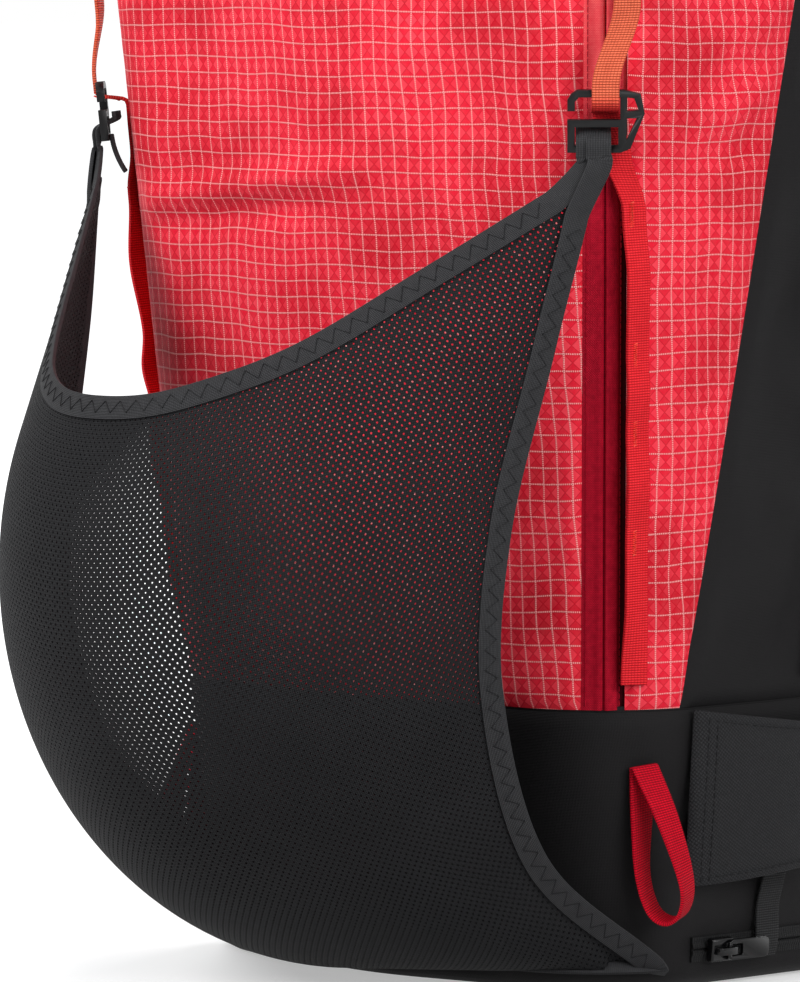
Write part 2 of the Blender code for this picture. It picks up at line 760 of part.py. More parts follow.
for side, word in SIDES:
    lean = Matrix.Rotation(side * LOOP_LEAN, 4, "Z")
    frame = skin_frame(side * LOOP_U, LOOP_TOP) @ lean

    def loop_place(s, t, frame=frame, side=side):
        down, out, twist, sway = loop_drop[round(t * 8)]
        turn = Matrix.Rotation(side * LOOP_TWIST * twist, 3, "Y")
        across = turn @ Vector((LOOP_WIDTH * (s - 0.5), 0, 0))
        return frame @ (Vector((side * LOOP_SWAY * sway, -LOOP_LENGTH * down, out)) + across)

    sheet(f"axe_loop_{word}", 1, 8, loop_place, WEBBING, ORANGE_WEBBING, 0.0)


# Helmet net
def net_hold(side):
    """Upper corner of the net, under its hook."""
    return hook_frame(side) @ Vector((HOOK_MIDDLE_X * side, bar_y - HOOK_TAB_DROP - SEAM_GAP, 0.0))


def low_edge(s):
    """Point along the lower edge, s from -1 to 1 round the front of the base."""
    return skin_frame(s * NET_CORNER_U, NET_CORNER_Z, NET_CORNER_LIFT).translation


def in_reach(point):
    """Direction from the middle of the net in units of its reach."""
    away = point - NET_MIDDLE
    return Vector(away[k] / NET_REACH[k] for k in range(3))


net_holds = [in_reach(net_hold(1)), in_reach(net_hold(-1))]
net_holds += [in_reach(low_edge(k / 6)) for k in range(-6, 7)]


def on_net(point):
    """Point pushed out from the middle to the dome or to the cones that hold it."""
    way = in_reach(point)
    away = way.normalized()
    reach = 1.0
    for hold in net_holds:
        if hold.length <= 1.0:
            continue
        edge = math.acos(1.0 / hold.length)
        turn = away.angle(hold)
        if turn < edge:
            reach = max(reach, 1.0 / math.cos(edge - turn))
    away = away * reach
    return NET_MIDDLE + Vector(away[k] * NET_REACH[k] for k in range(3))


net_side = [
    low_edge(1),
    Vector((0.099, -0.094, 0.056)),
    Vector((0.112, -0.124, 0.115)),
    Vector((0.110, -0.122, 0.170)),
    Vector((0.112, -0.106, 0.230)),
    net_hold(1),
]
net_top = [
    net_hold(1),
    Vector((0.086, -0.132, NET_DIP + 0.041)),
    Vector((0.058, -0.172, NET_DIP + 0.015)),
    Vector((0.030, -0.200, NET_DIP + 0.003)),
    Vector((0.0, -0.208, NET_DIP)),
]


def side_edge(side, t):
    """Point up a side edge of the net."""
    point = spline(net_side, t)
    return Vector((side * point.x, point.y, point.z))


def top_edge(s):
    """Point along the top edge, s from -1 at the left hook to 1 at the right one."""
    point = spline(net_top + [Vector((-p.x, p.y, p.z)) for p in net_top[-2::-1]], (1 - s) / 2)
    return point


def net_point(s, t):
    """Point of the net: s across from -1 to 1, t up from 0 to 1."""
    share = (s + 1) / 2
    point = low_edge(s) * (1 - t) + top_edge(s) * t
    point += side_edge(-1, t) * (1 - share) + side_edge(1, t) * share
    corners = low_edge(-1) * (1 - share) * (1 - t) + low_edge(1) * share * (1 - t)
    corners += top_edge(-1) * (1 - share) * t + top_edge(1) * share * t
    return on_net(point - corners)


def side_band(t):
    """Share of s that a binding's width takes at a height."""
    step = 0.02
    rate = (net_point(1.0, t) - net_point(1.0 - step, t)).length / step
    return BINDING_WIDTH / rate


def top_band(s):
    """Share of t that a binding's width takes along the top."""
    step = 0.02
    rate = (net_point(s, 1.0) - net_point(s, 1.0 - step)).length / step
    return min(BINDING_WIDTH / rate, 0.12)


def seam_share(band):
    """A seam's gap in the units of a band of the binding's width."""
    return band * SEAM_GAP / BINDING_WIDTH


def mesh_place(s, t):
    t_low = t * 0.94
    band = side_band(t_low) + seam_share(side_band(t_low))
    across = mix(-1.0 + band, 1.0 - band, s)
    top = top_band(across)
    return net_point(across, t * (1.0 - top - seam_share(top)))


def top_binding_place(s, t):
    across = mix(-1.0, 1.0, s)
    return net_point(across, 1.0 - top_band(across) * (1.0 - t))


corner_band = max(top_band(1.0 - k / 40) for k in range(12))
corner_band += 2 * seam_share(corner_band)
sheet("helmet_net", 22, 16, mesh_place, NET_THICKNESS, BLACK_NET, 0.0)
sheet("net_top_binding", 28, 1, top_binding_place, BINDING_THICKNESS, GREY_BINDING, 0.0)
for side, word in SIDES:

    def side_binding_place(s, t, side=side):
        up = t * (1.0 - corner_band)
        start = 1.0 - side_band(up)
        across = mix(start, 1.0, s) if side > 0 else mix(-1.0, -start, s)
        return net_point(across, up)

    sheet(
        f"net_binding_{word}",
        1,
        20,
        side_binding_place,
        BINDING_THICKNESS,
        GREY_BINDING,
        0.0,
    )

# Ski wings and side straps
for side, word in SIDES:

    def wing_place(s, t, side=side):
        along = s if side > 0 else 1.0 - s
        y = mix(WING_FRONT_Y, WING_BACK_Y, along)
        low = mix(WING_FRONT_LOW, WING_BACK_LOW, along)
        high = mix(WING_FRONT_HIGH, WING_BACK_HIGH, along)
        z = mix(low, high, t)
        lift = CLEAR + WING_STAND_OFF * math.sin(math.pi * along) ** 0.7
        return skin_frame(side * side_u(y, z), z, lift).translation

    sheet(f"ski_wing_{word}", 10, 2, wing_place, WING_THICKNESS, CHARCOAL_WING, 1.0)

    def side_strap_place(s, t, side=side):
        z = mix(BASE_HEIGHT + SIDE_STRAP_FOOT, SIDE_STRAP_TOP, t)
        y = SIDE_STRAP_Y + side * SIDE_STRAP_WIDTH * (s - 0.5)
        return skin_frame(side * side_u(y, z), z, CLEAR).translation

    sheet(f"side_strap_{word}", 1, 3, side_strap_place, WEBBING, BLACK_WEBBING, 1.0)

# Inside the bag: front pocket lining, frame sheet and its stay


def lining_place(s, t):
    z = mix(FABRIC + CLEAR, LINING_HEIGHT, t)
    wide = half_width(max(z, BASE_EDGE)) - FABRIC - CLEAR
    if z < BASE_EDGE:
        wide -= BASE_EDGE
    return Vector((mix(-wide, wide, s), LINING_Y, z))


sheet("pocket_lining", 4, 6, lining_place, LINING_THICKNESS, GREY_LINING, 0.0)
sheet_y = BACK_Y - FABRIC - CLEAR - SHEET_THICKNESS / 2
sheet_middle = Matrix.Translation((0, sheet_y, (SHEET_LOW + SHEET_HIGH) / 2))
sheet_size = (SHEET_WIDTH, SHEET_THICKNESS, SHEET_HIGH - SHEET_LOW)
box("frame_sheet", sheet_size, sheet_middle, WHITE_SHEET)
stay_y = sheet_y - SHEET_THICKNESS / 2 - CLEAR - STAY_THICKNESS / 2
stay_middle = Matrix.Translation((0, stay_y, (SHEET_LOW + SHEET_HIGH) / 2))
stay_size = (STAY_WIDTH, STAY_THICKNESS, SHEET_HIGH - SHEET_LOW - 2 * STAY_END_MARGIN)
box("stay", stay_size, stay_middle, BARE_ALUMINIUM)


# Carrying side: back pads, lumbar pad and the yoke that the straps are sewn to
def pad(name, left, right, low, high, across, along):
    """Cushion on the back panel, with its crown outwards."""

    def place(s, t):
        return Vector((mix(right, left, s), BACK_Y + CLEAR, mix(low, high, t)))

    return softened(sheet(name, across, along, place, PAD_THICKNESS, PAD_MESH, 1.0))


pad("back_pad_right", PAD_INNER_X, PAD_OUTER_X, PAD_LOW, PAD_HIGH, 3, 6)
pad("back_pad_left", -PAD_OUTER_X, -PAD_INNER_X, PAD_LOW, PAD_HIGH, 3, 6)
pad("lumbar_pad", -LUMBAR_HALF_WIDTH, LUMBAR_HALF_WIDTH, LUMBAR_LOW, LUMBAR_HIGH, 5, 3)
yoke_y = BACK_Y + CLEAR + YOKE_THICKNESS / 2
yoke_middle = Matrix.Translation((0, yoke_y, (YOKE_LOW + YOKE_HIGH) / 2))
yoke_size = (2 * YOKE_HALF_WIDTH, YOKE_THICKNESS, YOKE_HIGH - YOKE_LOW)
box("strap_yoke", yoke_size, yoke_middle, BLACK_FABRIC, 0.0015)

# Shoulder straps: padded, from the yoke over the shoulder and down to a ladder lock
strap_seat_y = BACK_Y + CLEAR + YOKE_THICKNESS + CLEAR
hinge_y = strap_seat_y + STRAP_THICKNESS / 2 - STRAP_ROUNDING
hinge_z = (YOKE_LOW + YOKE_HIGH) / 2
strap_path = [
    Vector((STRAP_X, hinge_y, hinge_z)),
    Vector((STRAP_X + 0.002, hinge_y + STRAP_STAND_OFF * 0.25, hinge_z + 0.028)),
    Vector((STRAP_X + 0.006, hinge_y + STRAP_STAND_OFF * 0.70, hinge_z + 0.018)),
    Vector((STRAP_X + 0.011, hinge_y + STRAP_STAND_OFF, mix(hinge_z, STRAP_END_Z, 0.25))),
    Vector((STRAP_X + 0.018, hinge_y + STRAP_STAND_OFF, mix(hinge_z, STRAP_END_Z, 0.52))),
    Vector((STRAP_X + 0.026, hinge_y + STRAP_STAND_OFF * 0.85, mix(hinge_z, STRAP_END_Z, 0.77))),
    Vector((STRAP_END_X, hinge_y + STRAP_STAND_OFF * 0.62, STRAP_END_Z)),
]


def strap_middle(share):
    """Point on the right strap's centre line."""
    return spline(strap_path, share)


def strap_frame(side, share, lift=0.0):
    """Frame on a strap: X to the left, Y up along it, Z out on the wearer's side."""
    step = 0.01
    low = max(share - step, 0.0)
    high = min(share + step, 1.0)
    along = (strap_middle(low) - strap_middle(high)).normalized()
    across = along * along.x - Vector((1, 0, 0))
    across.normalize()
    out = across.cross(along)
    frame = Matrix((across, along, out)).transposed().to_4x4()
    frame.translation = strap_middle(share) + out * lift
    if side < 0:
        flip = Matrix.Diagonal((-1, 1, 1, 1))
        frame = flip @ frame @ flip
    return frame


def strap_width(share):
    """Width of a shoulder strap along its length."""
    if share < 0.6:
        return STRAP_WIDTH
    return mix(STRAP_WIDTH, STRAP_END_WIDTH, (share - 0.6) / 0.4)


for side, word in SIDES:

    def strap_place(s, t, side=side):
        share = 1.0 - t
        place = Vector((strap_width(share) * (s - 0.5), 0, 0))
        return strap_frame(side, share) @ place

    made = sheet(f"shoulder_strap_{word}", 3, 18, strap_place, STRAP_THICKNESS, PAD_MESH, 0.0)
    softened(made)

    down = Matrix.Translation((0, STRAP_END_ROUNDING - LADDER_HEIGHT / 2 - CLEAR, 0))
    frame = strap_frame(side, 1.0) @ down
    slot = rounded(LADDER_WIDTH - 2 * LADDER_SIDE, LADDER_SLOT, LADDER_SLOT / 5, 1)
    lock = [
        rounded(LADDER_WIDTH, LADDER_HEIGHT, LADDER_CORNER, 2),
        shifted(slot, 0.0, LADDER_HEIGHT * 0.27),
        shifted(slot, 0.0, -LADDER_HEIGHT * 0.02),
        shifted(slot, 0.0, -LADDER_HEIGHT * 0.31),
    ]
    plate(f"ladder_lock_{word}", lock, LADDER_THICKNESS, frame, BLACK_PLASTIC)

    top = frame @ Vector((0, -LADDER_HEIGHT / 2 - 3 * CLEAR, 0))
    anchor = Vector((side * ANCHOR_X, BACK_Y + CLEAR + WEBBING / 2, ANCHOR_Z))

    top_across = frame.to_3x3() @ Vector((1, 0, 0))

    def lower_place(s, t, top=top, anchor=anchor, top_across=top_across):
        across = Vector((-1, 0, 0)).lerp(top_across, t)
        return anchor.lerp(top, t) + across * LOWER_WEBBING_WIDTH * (s - 0.5)

    sheet(f"lower_webbing_{word}", 1, 2, lower_place, WEBBING, BLACK_WEBBING, 0.0)

# Sternum strap: a clip on each shoulder strap, webbing and a side-release buckle
sternum_share = 0.5
for k in range(400):
    if strap_middle(k / 400).z <= STERNUM_Z and k > 130:
        sternum_share = k / 400
        break
sternum_lift = STRAP_THICKNESS / 2 + CLEAR + LADDER_THICKNESS / 2
clip_frame = strap_frame(1, sternum_share, sternum_lift)
clip_at = clip_frame.translation
web_y = clip_at.y + LADDER_THICKNESS / 2 + 2 * CLEAR + WEBBING / 2
for side, word in SIDES:
    slot = rounded(CLIP_SLOT, STERNUM_WIDTH + CLIP_MARGIN / 2, CLIP_SLOT / 5, 1)
    clip = [rounded(CLIP_WIDTH, STERNUM_WIDTH + 2 * CLIP_MARGIN, LADDER_CORNER, 2)]
    clip.append(shifted(slot, -CLIP_SLOT_X * side, 0.0))
    frame = strap_frame(side, sternum_share, sternum_lift)
    plate(f"sternum_clip_{word}", clip, LADDER_THICKNESS, frame, BLACK_PLASTIC)
    inner = BUCKLE_LENGTH / 2 + CLEAR
    if side > 0:
        inner += PRONG_BAR + SEAM_GAP
    web_length = clip_at.x + CLIP_TAIL - inner
    web_at = Matrix.Translation((side * (inner + web_length / 2), web_y, clip_at.z))
    web_size = (web_length, WEBBING, STERNUM_WIDTH)
    box(f"sternum_webbing_{word}", web_size, web_at, BLACK_WEBBING)

buckle_at = Matrix.Translation((0, web_y, clip_at.z))
housing_size = (BUCKLE_LENGTH, BUCKLE_THICKNESS, BUCKLE_WIDTH)
housing = box("sternum_buckle_socket", housing_size, buckle_at, BLACK_PLASTIC, BUCKLE_EDGE)
cavity_size = (BUCKLE_LENGTH, BUCKLE_THICKNESS - 2 * BUCKLE_WALL, BUCKLE_WIDTH - 2 * BUCKLE_WALL)
cavity_at = buckle_at @ Matrix.Translation((BUCKLE_BACK, 0, 0))
cut(housing, box("sternum_cavity", cavity_size, cavity_at, BLACK_PLASTIC, 0, CUTTERS))
window_at = buckle_at @ Matrix.Translation((BUCKLE_WINDOW_X, 0, 0))
window_size = (BUCKLE_WINDOW, BUCKLE_THICKNESS - 2.1 * BUCKLE_WALL, 2 * BUCKLE_WIDTH)
cut(housing, box("sternum_windows", window_size, window_at, BLACK_PLASTIC, 0, CUTTERS))


def fork(bar_start, bar_end, bar_half, arm):
    """Outline of buckle prongs: a bar, two arms given by their upper outline and a tongue."""
    upper = [(bar_end, bar_half), (bar_start, bar_half)] + arm
    lower = [(x, -y) for x, y in reversed(upper)]
    return lower + upper


tongue = BUCKLE_WIDTH / 2 - BUCKLE_WALL - SEAM_GAP
bar_start = BUCKLE_LENGTH / 2 + SEAM_GAP
arm_end = bar_start - 3 * SEAM_GAP
sternum_arm = [
    (bar_start, tongue - 2 * SEAM_GAP),
    (BUCKLE_WINDOW_X + BUCKLE_WINDOW / 2, tongue - SEAM_GAP / 2),
    (BUCKLE_WINDOW_X + BUCKLE_WINDOW / 3, tongue + SEAM_GAP / 2),
    (-SEAM_GAP, tongue - 5 * SEAM_GAP),
    (-SEAM_GAP, tongue - 7 * SEAM_GAP),
    (arm_end, tongue - 6 * SEAM_GAP),
    (arm_end, PRONG_THICKNESS * 0.6),
    (-PRONG_THICKNESS, PRONG_THICKNESS * 0.6),
]
prong_outline = fork(bar_start, bar_start + PRONG_BAR, tongue + BUCKLE_WALL, sternum_arm)
upright = Matrix.Rotation(math.pi / 2, 4, "X")
prongs_at = buckle_at @ upright
plate("sternum_buckle_prongs", [prong_outline], PRONG_THICKNESS, prongs_at, BLACK_PLASTIC)

# Hip belt: padded wings hinged on the lumbar pad's sides, webbing and buckle ends
hip_y = BACK_Y + CLEAR + HIP_THICKNESS / 2 - HIP_ROUNDING
hip_path = [
    Vector((HIP_HINGE_X, hip_y, HIP_Z)),
    Vector((HIP_HINGE_X + 0.030, hip_y + HIP_REACH * 0.16, HIP_Z)),
    Vector((HIP_HINGE_X + 0.056, hip_y + HIP_REACH * 0.42, HIP_Z + 0.002)),
    Vector((HIP_HINGE_X + 0.066, hip_y + HIP_REACH * 0.70, HIP_Z + 0.004)),
    Vector((HIP_HINGE_X + 0.066, hip_y + HIP_REACH, HIP_Z + 0.006)),
]
for side, word in SIDES:

    def hip_place(s, t, side=side):
        along = s if side < 0 else 1.0 - s
        point = spline(hip_path, along)
        tall_here = mix(HIP_HEIGHT, HIP_END_HEIGHT, along ** 1.4)
        z = point.z + tall_here * (t - 0.5)
        return Vector((side * point.x, point.y, z))

    softened(sheet(f"hip_wing_{word}", 10, 4, hip_place, HIP_THICKNESS, PAD_MESH, 0.0))
    tip = hip_path[-1]
    way = (hip_path[-1] - hip_path[-2]).normalized()
    turn = math.atan2(way.y, side * way.x)
    heading = Matrix.Rotation(turn, 4, "Z")
    start = Vector((side * tip.x, tip.y, tip.z))
    frame = Matrix.Translation(start) @ heading
    web_middle = Matrix.Translation((HIP_WEBBING_LENGTH / 2, 0, 0))
    web_size = (HIP_WEBBING_LENGTH, WEBBING, LOWER_WEBBING_WIDTH)
    box(f"hip_webbing_{word}", web_size, frame @ web_middle, BLACK_WEBBING)
    end_at = Matrix.Translation((HIP_WEBBING_LENGTH + CLEAR, 0, 0))
    if side > 0:
        depth = HIP_SOCKET_DEPTH
        middle = Matrix.Translation((depth / 2, 0, 0))
        socket_at = frame @ end_at @ middle
        socket_size = (depth, BUCKLE_THICKNESS, BUCKLE_WIDTH)
        socket = box("hip_buckle_socket", socket_size, socket_at, BLACK_PLASTIC, BUCKLE_EDGE)
        hollow = Matrix.Translation((HIP_SOCKET_BACK, 0, 0))
        hollow_size = (depth, BUCKLE_THICKNESS - 2 * BUCKLE_WALL, BUCKLE_WIDTH - 2 * BUCKLE_WALL)
        hollow_at = socket_at @ hollow
        cut(socket, box("hip_cavity", hollow_size, hollow_at, BLACK_PLASTIC, 0, CUTTERS))
    else:
        hip_arm = [
            (PRONG_BAR, tongue - SEAM_GAP),
            (HIP_SOCKET_DEPTH - 5 * SEAM_GAP, tongue - 3 * SEAM_GAP),
            (HIP_SOCKET_DEPTH, tongue - 7 * SEAM_GAP),
            (HIP_SOCKET_DEPTH, tongue - 9 * SEAM_GAP),
            (PRONG_BAR + SEAM_GAP, tongue - 6 * SEAM_GAP),
            (PRONG_BAR + SEAM_GAP, PRONG_THICKNESS * 0.6),
            (HIP_SOCKET_DEPTH - 3 * SEAM_GAP, PRONG_THICKNESS * 0.6),
        ]
        belt_fork = fork(PRONG_BAR, 0.0, BUCKLE_WIDTH / 2 - BUCKLE_WALL, hip_arm)
        plate("hip_buckle_prongs", [belt_fork], PRONG_THICKNESS, frame @ end_at @ upright, BLACK_PLASTIC)

# Haul loop: a strip of webbing, narrowed at its sewn ends, hanging below them
haul_y = BACK_Y + CLEAR + HAUL_END_SHARE * HAUL_WIDTH / 2
haul_out = Vector((0, math.cos(HAUL_HANG), -math.sin(HAUL_HANG)))
haul_across = Vector((0, math.sin(HAUL_HANG), math.cos(HAUL_HANG)))


def haul_place(s, t):
    swing = math.pi * t
    x = HAUL_HALF_WIDTH * math.cos(swing)
    middle = Vector((x, haul_y, HAUL_Z)) + haul_out * HAUL_REACH * math.sin(swing)
    share = mix(HAUL_END_SHARE, 1.0, math.sin(swing) ** 0.6)
    return middle + haul_across * HAUL_WIDTH * share * (s - 0.5)


sheet("haul_loop", 1, 12, haul_place, WEBBING, BLACK_WEBBING, 0.0)

# Joints: an empty on each axis, carrying what turns or slides there
joint("lid_hinge", Vector((0, BACK_Y + CLEAR, RIM_HEIGHT)), ["lid"])
joint("haul_loop_hinge", Vector((0, haul_y, HAUL_Z)), ["haul_loop"])
harness = [f"{piece}_{word}" for piece in ("shoulder_strap", "ladder_lock") for _, word in SIDES]
joint("harness_hinge", Vector((0, strap_seat_y, hinge_z + STRAP_THICKNESS / 2)), harness)
sternum = [f"sternum_{piece}_{word}" for piece in ("clip", "webbing") for _, word in SIDES]
sternum += ["sternum_buckle_socket", "sternum_buckle_prongs"]
joint("sternum_slide", buckle_at.translation, sternum)
for side, word in SIDES:
    buckle_end = "hip_buckle_socket" if side > 0 else "hip_buckle_prongs"
    belt_half = [f"hip_wing_{word}", f"hip_webbing_{word}", buckle_end]
    hip_seat = Vector((side * (HIP_HINGE_X + HIP_THICKNESS / 4), BACK_Y + CLEAR, HIP_Z))
    joint(f"hip_wing_{word}_hinge", hip_seat, belt_half)
    hook_bar_at = hook_frame(side) @ Vector((0, bar_y, 0))
    joint(f"net_hook_{word}_hinge", hook_bar_at, [f"net_hook_{word}"])
    loop_at = skin_frame(side * LOOP_U, LOOP_TOP, loop_lift).translation
    joint(f"axe_loop_{word}_hinge", loop_at, [f"axe_loop_{word}"])
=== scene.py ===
# %% [markdown]
# # A ski backpack, dressed on its CAD frame
# The solids of this bag are packed already: panels, straps, net, hooks and joints. This lesson puts
# cloth, thread and moulded plastic over them, in the same metres and the same frame, so that every
# piece lands where its solid is and moves with the same joint.

# %% Load the frame
import math
from functools import lru_cache

import bpy
import numpy as np
from mathutils import Matrix, Vector
from mathutils.bvhtree import BVHTree
from mathutils.geometry import area_tri, barycentric_transform


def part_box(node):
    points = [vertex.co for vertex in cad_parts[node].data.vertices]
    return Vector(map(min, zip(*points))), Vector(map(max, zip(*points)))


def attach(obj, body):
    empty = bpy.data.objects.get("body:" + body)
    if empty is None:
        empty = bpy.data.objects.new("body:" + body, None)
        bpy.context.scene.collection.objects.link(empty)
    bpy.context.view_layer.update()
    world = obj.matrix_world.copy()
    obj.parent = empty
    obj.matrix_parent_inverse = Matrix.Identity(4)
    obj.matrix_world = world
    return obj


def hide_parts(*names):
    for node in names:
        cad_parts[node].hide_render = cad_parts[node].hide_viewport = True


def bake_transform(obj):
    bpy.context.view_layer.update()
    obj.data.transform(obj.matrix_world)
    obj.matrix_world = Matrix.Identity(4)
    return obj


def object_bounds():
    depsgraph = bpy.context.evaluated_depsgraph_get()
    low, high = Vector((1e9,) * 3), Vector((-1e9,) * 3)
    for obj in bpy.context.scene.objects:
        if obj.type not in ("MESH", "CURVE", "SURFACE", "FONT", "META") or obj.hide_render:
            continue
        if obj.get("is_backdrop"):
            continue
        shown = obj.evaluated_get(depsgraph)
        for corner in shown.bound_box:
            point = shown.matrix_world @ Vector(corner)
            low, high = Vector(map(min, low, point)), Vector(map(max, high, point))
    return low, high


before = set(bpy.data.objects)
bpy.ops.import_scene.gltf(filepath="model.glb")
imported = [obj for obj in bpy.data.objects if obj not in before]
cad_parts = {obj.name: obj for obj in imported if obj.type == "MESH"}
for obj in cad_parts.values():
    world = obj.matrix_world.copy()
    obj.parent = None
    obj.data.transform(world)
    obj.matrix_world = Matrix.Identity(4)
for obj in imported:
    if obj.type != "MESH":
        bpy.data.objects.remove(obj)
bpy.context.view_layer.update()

# %% [markdown]
# ## Camera
# The photograph looks at the bag's right front corner from a little above, with a long lens, so that
# upright edges stay upright. A camera fitted to the hooks, the wing and the net gives these numbers.
# It could be aimed by a Track To constraint, but a turned camera is simpler for other views.

# %% Camera
scene = bpy.context.scene
scene.view_settings.view_transform = "Standard"
CAMERA_AT = Vector((2.090, -2.143, 0.370))
CAMERA_AIM = Vector((-0.0320, -0.0322, 0.1724))
bpy.ops.object.camera_add(location=CAMERA_AT)
camera = bpy.context.object
camera.rotation_euler = (CAMERA_AIM - CAMERA_AT).to_track_quat("-Z", "Y").to_euler()
camera.data.sensor_width = 36.0
camera.data.lens = 298.0
scene.camera = camera
print("camera:", round((CAMERA_AT - CAMERA_AIM).length, 2), "m away")

# %% [markdown]
# ## Light, floor and white background
# A product picture is lit by large soft boxes in a pale room. One big lamp stands high at the left,
# a second at the right, and a third behind for the carrying side. The world gives the rest. The
# background is white only for the camera, through Light Path, so it adds no light to the bag.

# %% Soft boxes
def soft_box(name, at, size, power):
    """Square area lamp aimed at the middle of the bag."""
    bpy.ops.object.light_add(type="AREA", location=at)
    lamp = bpy.context.object
    lamp.name = name
    lamp.rotation_euler = (Vector((0, 0, 0.24)) - Vector(at)).to_track_quat("-Z", "Y").to_euler()
    lamp.data.size = size
    lamp.data.energy = power


soft_box("key", (-0.5, -2.5, 1.9), 1.5, 78)
soft_box("fill", (2.6, -0.5, 1.2), 1.5, 54)
soft_box("back", (-0.6, 2.5, 1.7), 1.6, 70)

# %% World and floor
def camera_share(tree):
    """1 for rays from the camera, and for those that metal or glass send on."""
    path = tree.nodes.new("ShaderNodeLightPath")
    share = path.outputs["Is Camera Ray"]
    for other in ("Is Glossy Ray", "Is Transmission Ray"):
        larger = tree.nodes.new("ShaderNodeMath")
        larger.operation = "MAXIMUM"
        tree.links.new(share, larger.inputs[0])
        tree.links.new(path.outputs[other], larger.inputs[1])
        share = larger.outputs[0]
    return share


world = bpy.data.worlds.new("pale_room")
world.use_nodes = True
scene.world = world
tree = world.node_tree
room = tree.nodes["Background"]
room.inputs["Color"].default_value = (0.95, 0.97, 1.0, 1.0)
room.inputs["Strength"].default_value = 0.42
seen = tree.nodes.new("ShaderNodeBackground")
seen.inputs["Strength"].default_value = 1.0
seen.inputs["Color"].default_value = (1.0, 1.0, 1.0, 1.0)
choice = tree.nodes.new("ShaderNodeMixShader")
tree.links.new(camera_share(tree), choice.inputs[0])
tree.links.new(room.outputs[0], choice.inputs[1])
tree.links.new(seen.outputs[0], choice.inputs[2])
tree.links.new(choice.outputs[0], tree.nodes["World Output"].inputs["Surface"])

bpy.ops.object.select_all(action="DESELECT")
bpy.ops.mesh.primitive_plane_add(size=60.0, location=(0, 0, -0.0004))
floor = bpy.context.object
floor.name = "floor"
paper = bpy.data.materials.new("white_paper")
paper.use_nodes = True
tree = paper.node_tree
matt = tree.nodes["Principled BSDF"]
matt.inputs["Roughness"].default_value = 0.9
matt.inputs["Specular IOR Level"].default_value = 0.0
matt.inputs["Emission Color"].default_value = (1.0, 1.0, 1.0, 1.0)
tone = tree.nodes.new("ShaderNodeMix")
tone.data_type = "RGBA"
tone.inputs[6].default_value = (0.30, 0.30, 0.30, 1.0)
tone.inputs[7].default_value = (0.70, 0.70, 0.70, 1.0)
spot = tree.nodes.new("ShaderNodeTexCoord")
reach = tree.nodes.new("ShaderNodeVectorMath")
reach.operation = "LENGTH"
far = tree.nodes.new("ShaderNodeMapRange")
far.interpolation_type = "SMOOTHSTEP"
for socket, value in zip(far.inputs, (0.0, 0.4, 3.0, 0.42, 0.80)):
    socket.default_value = value
glow = tree.nodes.new("ShaderNodeMath")
glow.operation = "MULTIPLY"
for source, target in (
    (camera_share(tree), tone.inputs[0]),
    (tone.outputs[2], matt.inputs["Base Color"]),
    (spot.outputs["Object"], reach.inputs[0]),
    (reach.outputs["Value"], far.inputs[0]),
    (far.outputs[0], glow.inputs[0]),
    (camera_share(tree), glow.inputs[1]),
    (glow.outputs[0], matt.inputs["Emission Strength"]),
):
    tree.links.new(source, target)
floor.data.materials.append(paper)
floor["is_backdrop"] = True
print("light: 3 soft boxes and a pale room")

# %% [markdown]
# ## The bag's skin
# All panels of the bag lie on one surface that widens evenly towards the rim. The same formula is in
# the CAD source: u runs round the bag (0 mid-front, 1 to 2 the front corner, 2 to 3 the side, 3 to 4
# the back corner, 5 mid-back, negative on the left) and z is the height. Written down once, it puts
# cloth, seams, zips and straps on the bag without any fitting.

# %% Sizes of the bag
RIM_HEIGHT = 0.480
BASE_HEIGHT = 0.102
BASE_EDGE = 0.008
BOTTOM_HALF_WIDTH = 0.112
BOTTOM_FRONT_DEPTH = 0.074
BACK_Y = 0.090
FLARE = 0.075
FRONT_RADIUS = 0.045
BACK_RADIUS = 0.030
FRONT_CROWN = 0.008
FABRIC = 0.0025
CLEAR = 0.0004
WEBBING = 0.0013
ZIP_U = 1.50
ZIP_TAPE = 0.016
SIDES = ((1, "right"), (-1, "left"))


# %% Skin formula
def mix(low, high, share):
    """Value a share of the way from low to high."""
    return low + (high - low) * share


def ease(share):
    """Share that starts and stops gently."""
    share = min(max(share, 0.0), 1.0)
    return share * share * (3.0 - 2.0 * share)


def half_width(z):
    return BOTTOM_HALF_WIDTH + FLARE * z


def front_y(z):
    return -(BOTTOM_FRONT_DEPTH + FLARE * z)


def skin(u, z):
    """Point of the outer skin at a place round the bag and a height."""
    u = (u + 5.0) % 10.0 - 5.0
    side = math.copysign(1.0, u)
    u = abs(u)
    wide, front = half_width(z), front_y(z)
    if u <= 1.0:
        x = u * (wide - FRONT_RADIUS)
        y = front - FRONT_CROWN * (0.5 + 0.5 * math.cos(math.pi * u))
    elif u <= 2.0:
        turn = (u - 1.0) * math.pi / 2
        x = wide - FRONT_RADIUS * (1.0 - math.sin(turn))
        y = front + FRONT_RADIUS * (1.0 - math.cos(turn))
    elif u <= 3.0:
        start = front + FRONT_RADIUS
        x = wide
        y = start + (u - 2.0) * (BACK_Y - BACK_RADIUS - start)
    elif u <= 4.0:
        turn = (u - 3.0) * math.pi / 2
        x = wide - BACK_RADIUS * (1.0 - math.cos(turn))
        y = BACK_Y - BACK_RADIUS * (1.0 - math.sin(turn))
    else:
        x = (5.0 - u) * (wide - BACK_RADIUS)
        y = BACK_Y
    return Vector((side * x, y, z))


